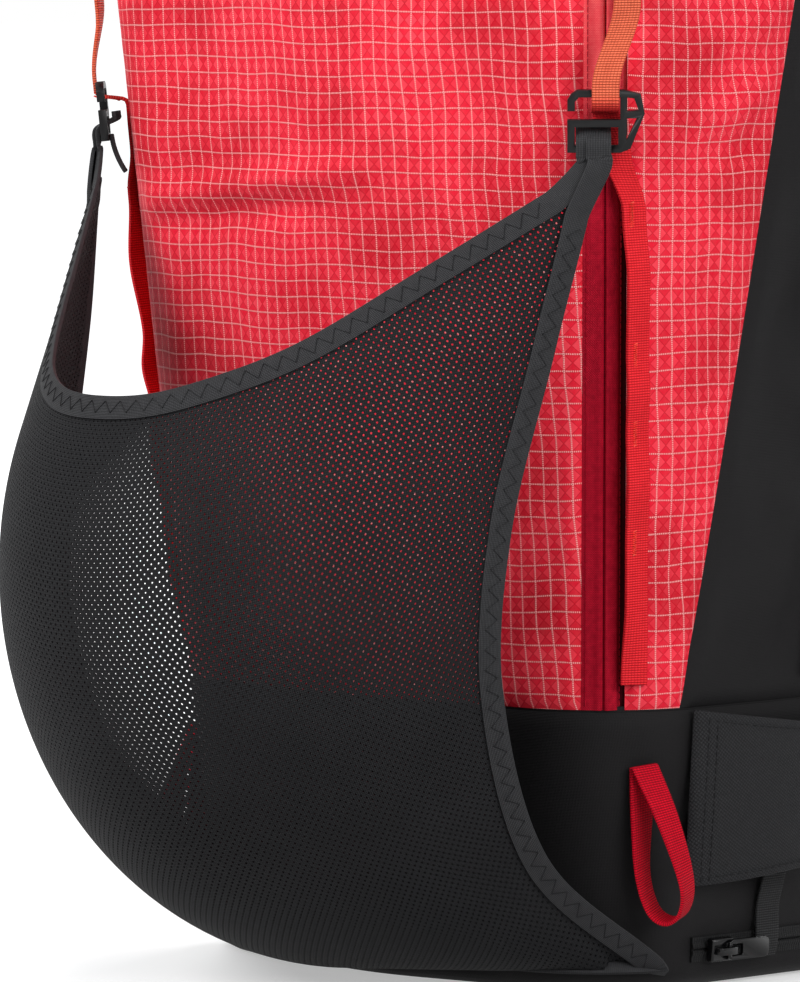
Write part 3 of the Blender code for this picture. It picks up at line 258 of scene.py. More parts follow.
def skin_frame(u, z, lift=0.0):
    """Frame on the skin: X across to larger u, Y up, Z out of the bag."""
    step = 0.001
    across = (skin(u + step, z) - skin(u - step, z)).normalized()
    up = (skin(u, z + step) - skin(u, z - step)).normalized()
    out = across.cross(up).normalized()
    made = Matrix((across, out.cross(across), out)).transposed().to_4x4()
    made.translation = skin(u, z) + out * lift
    return made


def moved_u(u, z, distance):
    """The u that lies this far across the skin from u."""
    step = 0.001
    rate = (skin(u + step, z) - skin(u - step, z)).length / (2 * step)
    return u + distance / rate


def side_u(y, z):
    """The u of a place on the flat of the right side."""
    start = front_y(z) + FRONT_RADIUS
    return 2.0 + (y - start) / (BACK_Y - BACK_RADIUS - start)


def colour_seam_u(z):
    """The u of the slanting seam between the red and the black side panels."""
    share = min(max((z - BASE_HEIGHT) / (RIM_HEIGHT - BASE_HEIGHT), 0.0), 1.0)
    return mix(1.93, 2.67, share) + 0.058 * math.sin(math.pi * share**0.6)


@lru_cache(maxsize=None)
def arc(start, end, z):
    """Length across the skin between two places at a height."""
    spots = [skin(mix(start, end, k / 16), z) for k in range(17)]
    return sum((b - a).length for a, b in zip(spots, spots[1:]))


front_edge = moved_u(ZIP_U, RIM_HEIGHT / 2, -ZIP_TAPE / 2)
rear_edge = moved_u(ZIP_U, RIM_HEIGHT / 2, ZIP_TAPE / 2)
print("skin: rim is", round(2 * half_width(RIM_HEIGHT), 3), "m wide")

# %% [markdown]
# ## Tools for cloth, thread and hard parts
# Cloth starts as Blender's grid primitive. Its points are put in place by a formula, which a hand with
# a lattice could only do roughly, and its UV map is written in metres, so a weave of 1 mm is 1 mm on
# every piece. Modifiers then give it thickness and round edges, and are applied.

# %% Cloth
def alone(piece):
    """Selects one piece and makes it active."""
    bpy.ops.object.select_all(action="DESELECT")
    piece.select_set(True)
    bpy.context.view_layer.objects.active = piece


def worked(piece, kind, **settings):
    """Adds a modifier to a piece and applies it."""
    alone(piece)
    change = piece.modifiers.new(kind.lower(), kind)
    for name, value in settings.items():
        setattr(change, name, value)
    bpy.ops.object.modifier_apply(modifier=change.name)
    return piece


def laid(name, columns, rows, place, anchor=0.5, plan=None):
    """Grid whose points go where place(s, t) says, with a UV map in metres, measured across from the
    anchor's column. plan names two axes that the UV map is read from instead."""
    bpy.ops.object.select_all(action="DESELECT")
    bpy.ops.mesh.primitive_grid_add(x_subdivisions=columns, y_subdivisions=rows, size=1.0)
    piece = bpy.context.object
    piece.name = name
    spots = np.array([place(v.co.x + 0.5, v.co.y + 0.5) for v in piece.data.vertices])
    piece.data.vertices.foreach_set("co", spots.ravel())
    table = spots.reshape(rows + 1, columns + 1, 3)
    metres = np.zeros((rows + 1, columns + 1, 2))
    middle = round(anchor * columns)
    metres[:, 1:, 0] = np.cumsum(np.linalg.norm(np.diff(table, axis=1), axis=2), axis=1)
    metres[:, :, 0] -= metres[:, middle, 0][:, None].copy()
    metres[1:, :, 1] = np.cumsum(np.linalg.norm(np.diff(table[:, middle], axis=0), axis=1))[:, None]
    if plan:
        metres = table[:, :, list(plan)]
    layer = piece.data.uv_layers.active
    layer.name = "metres"
    corners = np.zeros(len(piece.data.loops), int)
    piece.data.loops.foreach_get("vertex_index", corners)
    layer.data.foreach_set("uv", metres.reshape(-1, 2)[corners].ravel())
    piece.data.update()
    return piece


def closed_round(piece, gap=0.00005):
    """Merges the points where a grid meets itself."""
    alone(piece)
    bpy.ops.object.mode_set(mode="EDIT")
    bpy.ops.mesh.select_all(action="SELECT")
    bpy.ops.mesh.remove_doubles(threshold=gap)
    bpy.ops.object.mode_set(mode="OBJECT")
    return piece


def band(name, columns, rows, place, thickness, offset=1.0, anchor=0.5):
    """Strip of webbing or binding: a laid grid with thickness and soft edges."""
    piece = laid(name, columns, rows, place, anchor)
    worked(piece, "SOLIDIFY", thickness=thickness, offset=offset)
    round_edge = dict(limit_method="ANGLE", angle_limit=math.radians(55))
    return worked(piece, "BEVEL", width=thickness * 0.3, segments=2, **round_edge)


def dress(piece, finish, body, *nodes):
    """Finish, smooth shading, the body that a piece rides on, if any, and the solids it stands for."""
    piece.data.materials.clear()
    piece.data.materials.append(finish.made)
    alone(piece)
    bpy.ops.object.shade_smooth_by_angle(angle=math.radians(42))
    if body:
        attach(piece, body)
    if nodes:
        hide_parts(*nodes)
    return piece


# %% Thread
def sewn(name, runs, radius, finish, body):
    """Thread along runs of points: splines of one bevelled curve, made a mesh."""
    line = bpy.data.curves.new(name, "CURVE")
    line.dimensions = "3D"
    line.bevel_depth = radius
    line.bevel_resolution = 1
    line.use_fill_caps = True
    for run in runs:
        spline = line.splines.new("POLY")
        spline.points.add(len(run) - 1)
        for knot, point in zip(spline.points, run):
            knot.co = (*point, 1.0)
    piece = bpy.data.objects.new(name, line)
    scene.collection.objects.link(piece)
    alone(piece)
    bpy.ops.object.convert(target="MESH")
    return dress(bpy.context.object, finish, body)


def stitches(frames, pitch=0.0030, fill=0.74, rise=0.00035, low=-0.0002):
    """Short runs along frames, each dipping into the cloth at both ends."""
    points = np.array([f.translation for f in frames])
    outs = np.array([f.col[2][:3] for f in frames])
    along = np.concatenate([[0.0], np.cumsum(np.linalg.norm(np.diff(points, axis=0), axis=1))])
    runs = []
    for start in np.arange(0.0, along[-1] - pitch, pitch):
        run = []
        for share, height in ((0, low), (0.2, rise), (0.8, rise), (1, low)):
            at = start + pitch * fill * share
            point = [np.interp(at, along, points[:, k]) for k in range(3)]
            out = [np.interp(at, along, outs[:, k]) for k in range(3)]
            run.append(np.array(point) + np.array(out) * height)
        runs.append(run)
    return runs


def zigzag(frames, width, pitch, rise=0.0003, x=0.0):
    """One run that swings from side to side along frames."""
    points = np.array([f.translation for f in frames])
    along = np.concatenate([[0.0], np.cumsum(np.linalg.norm(np.diff(points, axis=0), axis=1))])
    run = []
    for k, at in enumerate(np.arange(0.0, along[-1], pitch / 2)):
        near = frames[min(int(np.searchsorted(along, at)), len(frames) - 1)]
        point = Vector([np.interp(at, along, points[:, j]) for j in range(3)])
        swing = width / 2 if k % 2 else -width / 2
        run.append(point + near.to_3x3() @ Vector((x + swing, 0, rise)))
    return [run]


# %% Hard parts
def moulded(node, finish, body, edge=0.0004, segments=2):
    """Copy of a hard solid, merged and freed of its triangles, with rounded edges."""
    bpy.ops.object.select_all(action="DESELECT")
    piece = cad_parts[node].copy()
    piece.data = piece.data.copy()
    piece.name = f"{node}_moulded"
    piece.parent = None
    for key in list(piece.keys()):
        del piece[key]
    scene.collection.objects.link(piece)
    alone(piece)
    bpy.ops.object.mode_set(mode="EDIT")
    bpy.ops.mesh.select_all(action="SELECT")
    bpy.ops.mesh.remove_doubles(threshold=0.00001)
    bpy.ops.mesh.dissolve_limited(angle_limit=math.radians(1.5))
    bpy.ops.object.mode_set(mode="OBJECT")
    limit = dict(limit_method="ANGLE", angle_limit=math.radians(25))
    worked(piece, "BEVEL", width=edge, segments=segments, use_clamp_overlap=True, **limit)
    worked(piece, "WEIGHTED_NORMAL")
    return dress(piece, finish, body, node)


print("tools: cloth, thread and hard parts")

# %% [markdown]
# ## Finishes
# Each finish is a Principled material with its pattern in nodes. A small class keeps the node calls
# short: a number or a socket may be given to any of them. Patterns on cloth read the UV map in metres,
# patterns on moulded parts read Object coordinates.

# %% Node calls
def colour(red, green, blue):
    """Linear colour from the 0 to 255 values of a screen."""
    parts = [part / 255 for part in (red, green, blue)]
    return [((c + 0.055) / 1.055) ** 2.4 if c > 0.04045 else c / 12.92 for c in parts] + [1.0]


class Finish:
    """Material with its Principled shader and the record's slot that it belongs to, which is kept but not used."""

    def __init__(self, name, slot, roughness, **sockets):
        self.slot = slot
        self.made = bpy.data.materials.new(name)
        self.made.use_nodes = True
        self.tree = self.made.node_tree
        self.shader = self.tree.nodes["Principled BSDF"]
        self.shader.inputs["Roughness"].default_value = roughness
        self.shader.inputs["Specular IOR Level"].default_value = 0.12
        for socket, value in sockets.items():
            self.shader.inputs[socket.replace("_", " ")].default_value = value

    def plug(self, socket, value):
        if isinstance(value, bpy.types.NodeSocket):
            self.tree.links.new(value, socket)
        else:
            socket.default_value = value

    def math(self, operation, *values):
        node = self.tree.nodes.new("ShaderNodeMath")
        node.operation = operation
        for socket, value in zip(node.inputs, values):
            self.plug(socket, value)
        return node.outputs[0]

    def cells(self, across, up, turn=0.0):
        """UV map in cells of this size, as two sockets."""
        spot = self.tree.nodes.new("ShaderNodeUVMap")
        spot.uv_map = "metres"
        scaled = self.tree.nodes.new("ShaderNodeMapping")
        scaled.inputs["Rotation"].default_value[2] = turn
        scaled.inputs["Scale"].default_value = (1 / across, 1 / up, 1.0)
        self.tree.links.new(spot.outputs[0], scaled.inputs["Vector"])
        parts = self.tree.nodes.new("ShaderNodeSeparateXYZ")
        self.tree.links.new(scaled.outputs[0], parts.inputs[0])
        return parts.outputs[0], parts.outputs[1]

    def noise(self, size, detail=2.0, stretch=(1, 1, 1)):
        """Noise in Object coordinates with spots of about this size."""
        spot = self.tree.nodes.new("ShaderNodeTexCoord")
        scaled = self.tree.nodes.new("ShaderNodeMapping")
        scaled.inputs["Scale"].default_value = stretch
        self.tree.links.new(spot.outputs["Object"], scaled.inputs["Vector"])
        node = self.tree.nodes.new("ShaderNodeTexNoise")
        node.inputs["Scale"].default_value = 1 / size
        node.inputs["Detail"].default_value = detail
        self.tree.links.new(scaled.outputs[0], node.inputs["Vector"])
        return node.outputs[0]

    def height_share(self, low, high):
        """0 below a height of the object, 1 above another."""
        spot = self.tree.nodes.new("ShaderNodeTexCoord")
        parts = self.tree.nodes.new("ShaderNodeSeparateXYZ")
        self.tree.links.new(spot.outputs["Object"], parts.inputs[0])
        return self.step(parts.outputs[2], low, high)

    def step(self, value, low, high):
        """0 below low, 1 above high, smooth between."""
        node = self.tree.nodes.new("ShaderNodeMapRange")
        node.interpolation_type = "SMOOTHSTEP"
        self.plug(node.inputs[0], value)
        node.inputs[1].default_value = low
        node.inputs[2].default_value = high
        return node.outputs[0]

    def span(self, value, low, high):
        """A share from 0 to 1 spread from low to high."""
        return self.math("MULTIPLY_ADD", value, high - low, low)

    def blend(self, share, first, second):
        node = self.tree.nodes.new("ShaderNodeMix")
        node.data_type = "RGBA"
        self.plug(node.inputs[0], share)
        self.plug(node.inputs[6], first)
        self.plug(node.inputs[7], second)
        return node.outputs[2]

    def weave(self, across, up, turn=0.0):
        """Height of a plain weave with yarns of this size, and which yarn is on top."""
        u, v = self.cells(across, up, turn)
        floors = self.math("ADD", self.math("FLOOR", u), self.math("FLOOR", v))
        over = self.math("MODULO", self.math("ABSOLUTE", floors), 2.0)
        warp = self.math("ABSOLUTE", self.math("SINE", self.math("MULTIPLY", u, math.pi)))
        weft = self.math("ABSOLUTE", self.math("SINE", self.math("MULTIPLY", v, math.pi)))
        tall = self.math("MULTIPLY", warp, self.span(weft, 0.5, 1.0))
        wide = self.math("MULTIPLY", weft, self.span(warp, 0.5, 1.0))
        first = self.math("MULTIPLY", tall, over)
        second = self.math("MULTIPLY", wide, self.math("SUBTRACT", 1.0, over))
        return self.math("ADD", first, second), over

    def colours(self, value):
        self.plug(self.shader.inputs["Base Color"], value)

    def rough(self, value):
        self.plug(self.shader.inputs["Roughness"], value)

    def bump(self, height, depth, strength=1.0):
        """Surface relief of this depth in metres."""
        node = self.tree.nodes.new("ShaderNodeBump")
        node.inputs["Strength"].default_value = strength
        node.inputs["Distance"].default_value = depth
        self.plug(node.inputs["Height"], height)
        self.tree.links.new(node.outputs[0], self.shader.inputs["Normal"])


# %% [markdown]
# ### Red ripstop
# Ripstop nylon has a thicker yarn every few millimetres. Here the square is 5.8 mm, its yarns are pale
# and dotted where they go under, and each cell is pressed into a flat pyramid in the bump. Its colour
# holds painted light: the left and right facets are painted lighter, as lit, the others keep the
# shaded red, and two dark diagonals part them. Everything is drawn from the place inside one cell.

# %% Red ripstop
def ripstop(name, lit, shaded, dark, pale):
    made = Finish(name, "red_ripstop", 0.5, Specular_IOR_Level=0.05)
    u, v = made.cells(0.0058, 0.0058)
    u = made.math("ADD", u, made.span(made.noise(0.030, 1.0), -0.30, 0.30))
    v = made.math("ADD", v, made.span(made.noise(0.034, 1.0, (1.0, 1.1, 0.9)), -0.30, 0.30))
    x = made.math("FRACT", u)
    y = made.math("FRACT", v)
    from_x = made.math("ABSOLUTE", made.math("SUBTRACT", x, 0.5))
    from_y = made.math("ABSOLUTE", made.math("SUBTRACT", y, 0.5))
    dots = []
    for line, along in ((from_x, v), (from_y, u)):
        yarn = made.step(line, 0.436, 0.470)
        beads = made.math("SINE", made.math("MULTIPLY", along, 2 * math.pi * 8))
        dots.append(made.math("MULTIPLY", yarn, made.step(beads, -0.9, 0.3)))
    yarns = made.math("MAXIMUM", *dots)
    off_diagonal = made.math("ABSOLUTE", made.math("SUBTRACT", from_x, from_y))
    cross = made.math("SUBTRACT", 1.0, made.step(off_diagonal, 0.008, 0.055))
    facet = made.step(made.math("SUBTRACT", from_x, from_y), -0.05, 0.05)
    fine, over = made.weave(0.00046, 0.00046)
    deep = made.step(made.noise(0.042, 3.0), 0.36, 0.66)
    thread = made.noise(0.0022, 2.0, (1.0, 1.0, 0.5))
    cells = made.blend(made.span(deep, 0.0, 0.7), shaded, dark)
    shine = made.math("MULTIPLY", made.span(deep, 0.80, 0.25), made.span(made.noise(0.024), 0.1, 1.6))
    # Painted highlight: the left and right facets of each cell are made lighter, as lit.
    cells = made.blend(made.math("MULTIPLY", facet, shine), cells, lit)
    cells = made.blend(made.math("MULTIPLY", fine, made.span(thread, -0.02, 0.14)), cells, pale)
    cells = made.blend(made.math("MULTIPLY", cross, made.span(deep, 0.55, 0.85)), cells, dark)
    made.colours(made.blend(made.math("MULTIPLY", yarns, made.span(thread, 0.55, 1.05)), cells, pale))
    pyramid = made.math("SUBTRACT", 0.5, made.math("MAXIMUM", from_x, from_y))
    relief = made.math("ADD", made.math("MULTIPLY", pyramid, 0.3), made.math("MULTIPLY", fine, 0.12))
    made.bump(made.math("ADD", relief, made.math("MULTIPLY", yarns, 0.55)), 0.0005, 0.6)
    return made


RED = ripstop(
    "red_ripstop_cloth", colour(252, 68, 84), colour(236, 22, 52), colour(186, 0, 26), colour(255, 188, 184)
)
print("finish: red ripstop, 5.8 mm squares")

# %% [markdown]
# ### Black cloth, wing, lining and pad mesh
# The black cloths are plain weaves that differ in yarn size and shine: a fine one for the side and the
# base, a coarse one for the wings. A weave's height gives the bump, the gaps are darker, and a faint
# large noise keeps the cloth from looking printed.

# %% Black cloths
def woven(name, slot, yarn, dark, light, roughness, depth, turn=0.0, uneven=0.35, **sockets):
    made = Finish(name, slot, roughness, **sockets)
    height, over = made.weave(yarn, yarn, turn)
    cloud = made.noise(0.02, 3.0)
    grain = made.noise(yarn * 1.6, 1.0)
    share = made.math("MULTIPLY", height, made.span(cloud, 1.0 - uneven, 1.0))
    share = made.math("MULTIPLY", share, made.span(grain, 0.55, 1.25))
    made.colours(made.blend(share, dark, light))
    made.rough(made.span(cloud, roughness - 0.06, roughness + 0.08))
    made.bump(height, depth, 0.8)
    return made


BLACK = woven("black_side_cloth", "black_fabric", 0.00055, colour(10, 9, 10), colour(28, 27, 28), 0.62, 0.0001)
WING = woven("charcoal_wing_cloth", "charcoal_wing", 0.0009, colour(14, 14, 15), colour(48, 48, 50), 0.6, 0.00022, 0.6)
LINING = woven("grey_lining_cloth", "grey_lining", 0.0005, colour(110, 111, 114), colour(140, 141, 143), 0.6, 0.0001)

PAD = Finish("pad_mesh_cloth", "pad_mesh", 0.8, Sheen_Weight=0.04)
u, v = PAD.cells(0.0030, 0.0026)
row = PAD.math("MODULO", PAD.math("FLOOR", v), 2.0)
x = PAD.math("SUBTRACT", PAD.math("FRACT", PAD.math("MULTIPLY_ADD", row, 0.5, u)), 0.5)
y = PAD.math("SUBTRACT", PAD.math("FRACT", v), 0.5)
away = PAD.math("SQRT", PAD.math("ADD", PAD.math("MULTIPLY", x, x), PAD.math("MULTIPLY", y, y)))
rim = PAD.step(away, 0.20, 0.33)
knit, over = PAD.weave(0.0006, 0.0006)
yarn = PAD.blend(PAD.math("MULTIPLY", knit, PAD.noise(0.004)), colour(30, 30, 32), colour(84, 84, 88))
PAD.colours(PAD.blend(rim, colour(8, 8, 9), yarn))
PAD.bump(PAD.math("ADD", rim, PAD.math("MULTIPLY", knit, 0.3)), 0.0006, 0.8)
print("finish: black side cloth, wing cloth, lining and pad mesh")

# %% [markdown]
# ### Webbing, binding and zip tape
# Webbing is woven with thick yarns across its width, which show as ribs with small dark breaks. The
# elastic binding has fine ribs along its length, and the zip tape is a fine twill. All of them follow
# the strip that they are on, because the UV map runs along it.

# %% Webbing
def webbing(name, slot, palette, across=0.00115, up=0.00090, depth=0.00026, ribs=1, upper=None, turn_z=0.318):
    """Ribs run across the strip, or along it where ribs is 0. An upper palette, painted light that makes the strip
    lighter as lit, starts at turn_z.
    """
    made = Finish(name, slot, 0.65)
    height, over = made.weave(across, up)
    ribbed = made.cells(across, up)[ribs]
    rib = made.math("ABSOLUTE", made.math("SINE", made.math("MULTIPLY", ribbed, math.pi)))
    share = made.math("MULTIPLY", made.math("POWER", rib, 0.6), made.span(height, 0.30, 1.0))
    share = made.math("MULTIPLY", share, made.span(made.noise(0.003), 0.7, 1.2))
    shown = made.blend(share, *palette)
    # Above turn_z the upper palette is painted light: the strip is lighter there, as lit.
    if upper:
        shown = made.blend(made.height_share(turn_z - 0.004, turn_z + 0.004), shown, made.blend(share, *upper))
    made.colours(shown)
    made.bump(made.math("ADD", made.math("MULTIPLY", rib, 0.6), made.math("MULTIPLY", height, 0.5)), depth, 0.9)
    return made


# The gear strap above its hook is painted lighter and more orange, as lit; below it keeps its darker red.
LOW_STRAP = (colour(176, 0, 16), colour(255, 52, 60))
LIT_STRAP = (colour(140, 40, 16), colour(255, 126, 92))
ORANGE = webbing("orange_strap_webbing", "orange_webbing", LOW_STRAP, upper=LIT_STRAP)
LOOP_RED = webbing("red_loop_webbing", "orange_webbing", (colour(96, 0, 12), colour(226, 6, 40)))
BLACK_WEB = webbing("black_strap_webbing", "black_webbing", (colour(11, 11, 11), colour(50, 50, 51)))
BINDING = webbing("grey_elastic_binding", "grey_binding", (colour(10, 10, 11), colour(66, 66, 68)), 0.00055, 0.0007, 0.0002, 0)

ZIP = Finish("crimson_zip_tape", "crimson_zip", 0.55, Specular_IOR_Level=0.08)
u, v = ZIP.cells(0.001, 0.001)
middle = ZIP.math("ABSOLUTE", u)
twill, over = ZIP.weave(0.0006, 0.0006, math.pi / 4)
coil = ZIP.math("SUBTRACT", 1.0, ZIP.step(middle, 2.6, 3.1))
turns = ZIP.math("ABSOLUTE", ZIP.math("SINE", ZIP.math("MULTIPLY", v, math.pi / 0.85)))
slit = ZIP.math("SUBTRACT", 1.0, ZIP.step(middle, 0.22, 0.55))
slit = ZIP.math("MULTIPLY", slit, ZIP.span(turns, 1.0, 0.45))
# Painted light: above 0.30 m the tape is painted lighter, as lit, and below it darker, as in shade. Beside the strap it
# is painted darker still, a painted shadow of the strap that fades where the tape is lit.
lit = ZIP.height_share(0.300, 0.330)
knit = ZIP.math("MULTIPLY", ZIP.math("ADD", ZIP.math("MULTIPLY", twill, 0.7), ZIP.math("MULTIPLY", turns, 0.3)), ZIP.noise(0.002))
shaded_tape = ZIP.blend(knit, colour(132, 0, 24), colour(232, 30, 60))
lit_tape = ZIP.blend(knit, colour(240, 44, 66), colour(255, 136, 130))
shade = ZIP.math("MULTIPLY", ZIP.step(u, 5.2, 7.4), ZIP.span(lit, 0.9, 0.3))
whole = ZIP.blend(shade, ZIP.blend(lit, shaded_tape, lit_tape), colour(34, 0, 7))
ZIP.colours(ZIP.blend(slit, whole, colour(30, 0, 6)))
ZIP.bump(ZIP.math("ADD", twill, ZIP.math("MULTIPLY", ZIP.math("MULTIPLY", turns, coil), 0.5)), 0.0002, 0.8)

BLACK_ZIP = webbing("black_zip_tape", "black_webbing", (colour(9, 9, 9), colour(34, 34, 35)), 0.0007, 0.0012)
RED_THREAD = Finish("red_thread", "red_ripstop", 0.5)
RED_THREAD.colours(RED_THREAD.blend(RED_THREAD.noise(0.0012), colour(240, 40, 44), colour(255, 128, 104)))
CRIMSON_THREAD = Finish("crimson_thread", "crimson_zip", 0.5)
CRIMSON_THREAD.colours(CRIMSON_THREAD.blend(CRIMSON_THREAD.noise(0.0012), colour(120, 0, 20), colour(190, 16, 44)))
DARK_THREAD = Finish("black_thread", "black_webbing", 0.45)
DARK_THREAD.colours(DARK_THREAD.blend(DARK_THREAD.noise(0.0012), colour(8, 8, 9), colour(34, 34, 36)))
print("finish: webbing in three colours, binding, zip tapes and thread")

# %% [markdown]
# ### Net, moulded plastic, glossy slider, frame sheet and stay
# The net's holes are real, so its finish is only the knitted yarn between them. Moulded acetal is matt
# with a faint grain and lighter rubbed patches at random, the zip sliders are lacquered, the frame sheet
# is milky plastic and the stay is brushed aluminium.

# %% Net and hard finishes
NET = Finish("black_net_yarn", "black_net", 0.65, Specular_IOR_Level=0.08)
yarn, over = NET.weave(0.00070, 0.00078)
fuzz = NET.noise(0.0006, 2.0)
patch = NET.noise(0.03, 2.0)
lit = NET.math("MULTIPLY", NET.math("MULTIPLY", yarn, NET.span(fuzz, 0.2, 1.5)), NET.span(patch, 0.5, 1.0))
NET.colours(NET.blend(lit, colour(4, 4, 5), colour(50, 50, 52)))
NET.bump(NET.math("ADD", yarn, NET.math("MULTIPLY", fuzz, 0.5)), 0.0002, 0.7)


def hard(name, slot, dark, light, roughness, grain, **sockets):
    made = Finish(name, slot, roughness, Specular_IOR_Level=0.2, **sockets)
    rubbed = made.noise(0.006, 4.0)
    made.colours(made.blend(rubbed, dark, light))
    made.rough(made.span(made.noise(0.0025, 3.0), roughness - 0.08, roughness + 0.1))
    made.bump(made.noise(grain, 2.0), 0.00003, 0.6)
    return made


PLASTIC = hard("black_acetal", "black_plastic", colour(7, 7, 8), colour(17, 17, 18), 0.32, 0.0005)
SLIDER = hard("black_lacquer", "black_slider", colour(4, 4, 5), colour(12, 12, 13), 0.2, 0.002, Coat_Weight=0.12)
SHEET = hard("milky_sheet", "white_sheet", colour(214, 214, 210), colour(232, 232, 229), 0.45, 0.003)
STAY = Finish("brushed_stay", "bare_aluminium", 0.35, Metallic=1.0)
brushed = STAY.noise(0.0008, 3.0, (1.0, 1.0, 0.03))
STAY.colours(STAY.blend(brushed, colour(180, 181, 183), colour(222, 223, 224)))
STAY.rough(STAY.span(brushed, 0.25, 0.5))
STAY.bump(brushed, 0.00003, 0.6)
print("finish: net yarn, acetal, lacquer, sheet and aluminium")

# %% [markdown]
# ## Panels
# A sewn panel isn't a plate. Its edges turn in at the seams, it puckers beside them, it hangs in slow
# waves and it is pulled into folds where a strap tugs. Simulation would move it away from the seams of
# its neighbours, so the waves and folds are written as lifts off the skin, and the thickness comes
# from Solidify. Folds are placed by their distance across the cloth from mid-front and their height.

# %% Panel tools
def flat(u, z):
    """Distance across the cloth from mid-front."""
    return math.copysign(arc(0.0, abs(round(u, 4)), round(z, 5)), u)


def ridge(x, z, fold):
    """Lift of one fold: a soft ridge between two places, of a width and a height."""
    ax, az, bx, bz, width, height = fold
    run = Vector((bx - ax, bz - az))
    away = Vector((x - ax, z - az))
    share = min(max(away.dot(run) / run.length_squared, 0.0), 1.0)
    off = (away - run * share).length / width
    return height * math.exp(-off * off) * (0.35 + 0.65 * math.sin(math.pi * mix(0.15, 0.85, share)))


def panel(name, left, right, low, high, columns, rows, lift, anchor=0.5):
    """Panel of the skin between two seams, with its edges turned in."""

    def place(s, t):
        z = mix(low, high, t)
        start, end = left(z), right(z)
        u = mix(start, end, s)
        wide = arc(round(start, 4), round(end, 4), round(z, 5))
        seam = min(s * wide, (1 - s) * wide, (z - low) + 0.0004, (high - z) + 0.0004)
        tuck = -0.0015 * math.exp(-((seam / 0.0024) ** 2))
        pucker = 0.0003 * math.sin(z / 0.0023) * math.exp(-seam / 0.006)
        free = ease((seam - 0.001) / 0.012)
        return skin_frame(u, z, (lift(u, z) + pucker) * free + tuck).translation

    piece = laid(name, columns, rows, place, anchor)
    return worked(piece, "SOLIDIFY", thickness=0.0012, offset=-1.0)


def under_straps(u, z):
    """1 on free cloth, 0 under the straps, the zip and the hooks at the front corners."""
    return ease((abs(abs(u) - 1.62) - 0.24) / 0.12)


# %% Front panel
FRONT_FOLDS = [
    (-0.100, 0.279, 0.016, 0.293, 0.0065, 0.0030),
    (-0.096, 0.272, -0.010, 0.280, 0.006, -0.0020),
    (-0.098, 0.300, -0.040, 0.312, 0.012, 0.0016),
    (0.030, 0.330, 0.088, 0.352, 0.014, 0.0015),
    (-0.060, 0.395, 0.030, 0.405, 0.018, 0.0016),
    (0.050, 0.240, 0.100, 0.262, 0.010, -0.0016),
    (-0.080, 0.440, 0.080, 0.452, 0.016, 0.0012),
]


def front_lift(u, z):
    x = flat(u, z)
    waves = 0.0009 * math.sin(x / 0.019 + 3 * z) * math.sin(z / 0.024 + 1.0)
    folds = sum(ridge(x, z, fold) for fold in FRONT_FOLDS)
    return (waves + folds) * under_straps(u, z)


def at(u):
    """Straight seam up the skin."""
    return lambda z: u


HALF_GAP = 0.0004
front = panel("front_cloth", at(-ZIP_U), at(front_edge), BASE_HEIGHT + HALF_GAP, RIM_HEIGHT - HALF_GAP, 104, 126, front_lift)
dress(front, RED, "bag", "front_panel")
print("front panel:", len(front.data.polygons), "faces")

# %% Red side wedges
WEDGE_FOLDS = [
    (0.166, 0.312, 0.214, 0.326, 0.008, 0.0034),
    (0.172, 0.300, 0.222, 0.306, 0.007, -0.0022),
    (0.170, 0.338, 0.216, 0.352, 0.010, 0.0030),
    (0.182, 0.262, 0.206, 0.270, 0.014, 0.0016),
    (0.158, 0.207, 0.206, 0.214, 0.0030, -0.0018),
    (0.158, 0.201, 0.204, 0.208, 0.0040, 0.0010),
    (0.176, 0.395, 0.230, 0.410, 0.012, 0.0024),
]


def wedge_lift(u, z):
    x = abs(flat(u, z))
    waves = 0.0008 * math.sin(x / 0.013) * math.sin(z / 0.02)
    free = ease((abs(u) - 1.80) / 0.12)
    return (waves + sum(ridge(x, z, fold) for fold in WEDGE_FOLDS)) * free


for side, word in SIDES:
    edge = rear_edge if side > 0 else ZIP_U
    seams = (at(edge), colour_seam_u) if side > 0 else (lambda z: -colour_seam_u(z), at(-edge))
    wedge = panel(f"wedge_{word}", *seams, BASE_HEIGHT + HALF_GAP, RIM_HEIGHT - HALF_GAP, 44, 126, wedge_lift, 0.0 if side > 0 else 1.0)
    dress(wedge, RED, "bag", f"side_red_{word}")
print("wedges: 2")

# %% Black side panels and back panel
SIDE_FOLDS = [
    (0.185, 0.120, 0.250, 0.150, 0.014, -0.0034),
    (0.200, 0.175, 0.262, 0.168, 0.010, 0.0030),
    (0.200, 0.205, 0.262, 0.196, 0.010, -0.0026),
    (0.196, 0.235, 0.260, 0.262, 0.012, -0.0030),
    (0.215, 0.300, 0.265, 0.318, 0.012, 0.0026),
]


def side_lift(u, z):
    x = abs(flat(u, z))
    strapped = abs(x - flat(side_u(0.030, z), z))
    free = ease((strapped - 0.011) / 0.008)
    waves = 0.0016 * math.sin(x / 0.017 + 1.0) * math.sin(z / 0.015)
    back = 1.0 - ease((abs(u) - mix(2.8, 3.3, ease((z - 0.17) / 0.04))) / 0.4)
    return (waves + sum(ridge(x, z, fold) for fold in SIDE_FOLDS)) * free * back


for side, word in SIDES:
    seams = (colour_seam_u, at(4.0)) if side > 0 else (at(-4.0), lambda z: -colour_seam_u(z))
    dark = panel(f"dark_side_{word}", *seams, BASE_HEIGHT + HALF_GAP, RIM_HEIGHT - HALF_GAP, 64, 126, side_lift)
    dress(dark, BLACK, "bag", f"side_black_{word}")

back = panel("back_cloth", at(4.0), at(6.0), BASE_HEIGHT + HALF_GAP, RIM_HEIGHT - HALF_GAP, 60, 90, lambda u, z: -0.0002)
dress(back, BLACK, "bag", "back_panel")
print("black sides and back: 3")

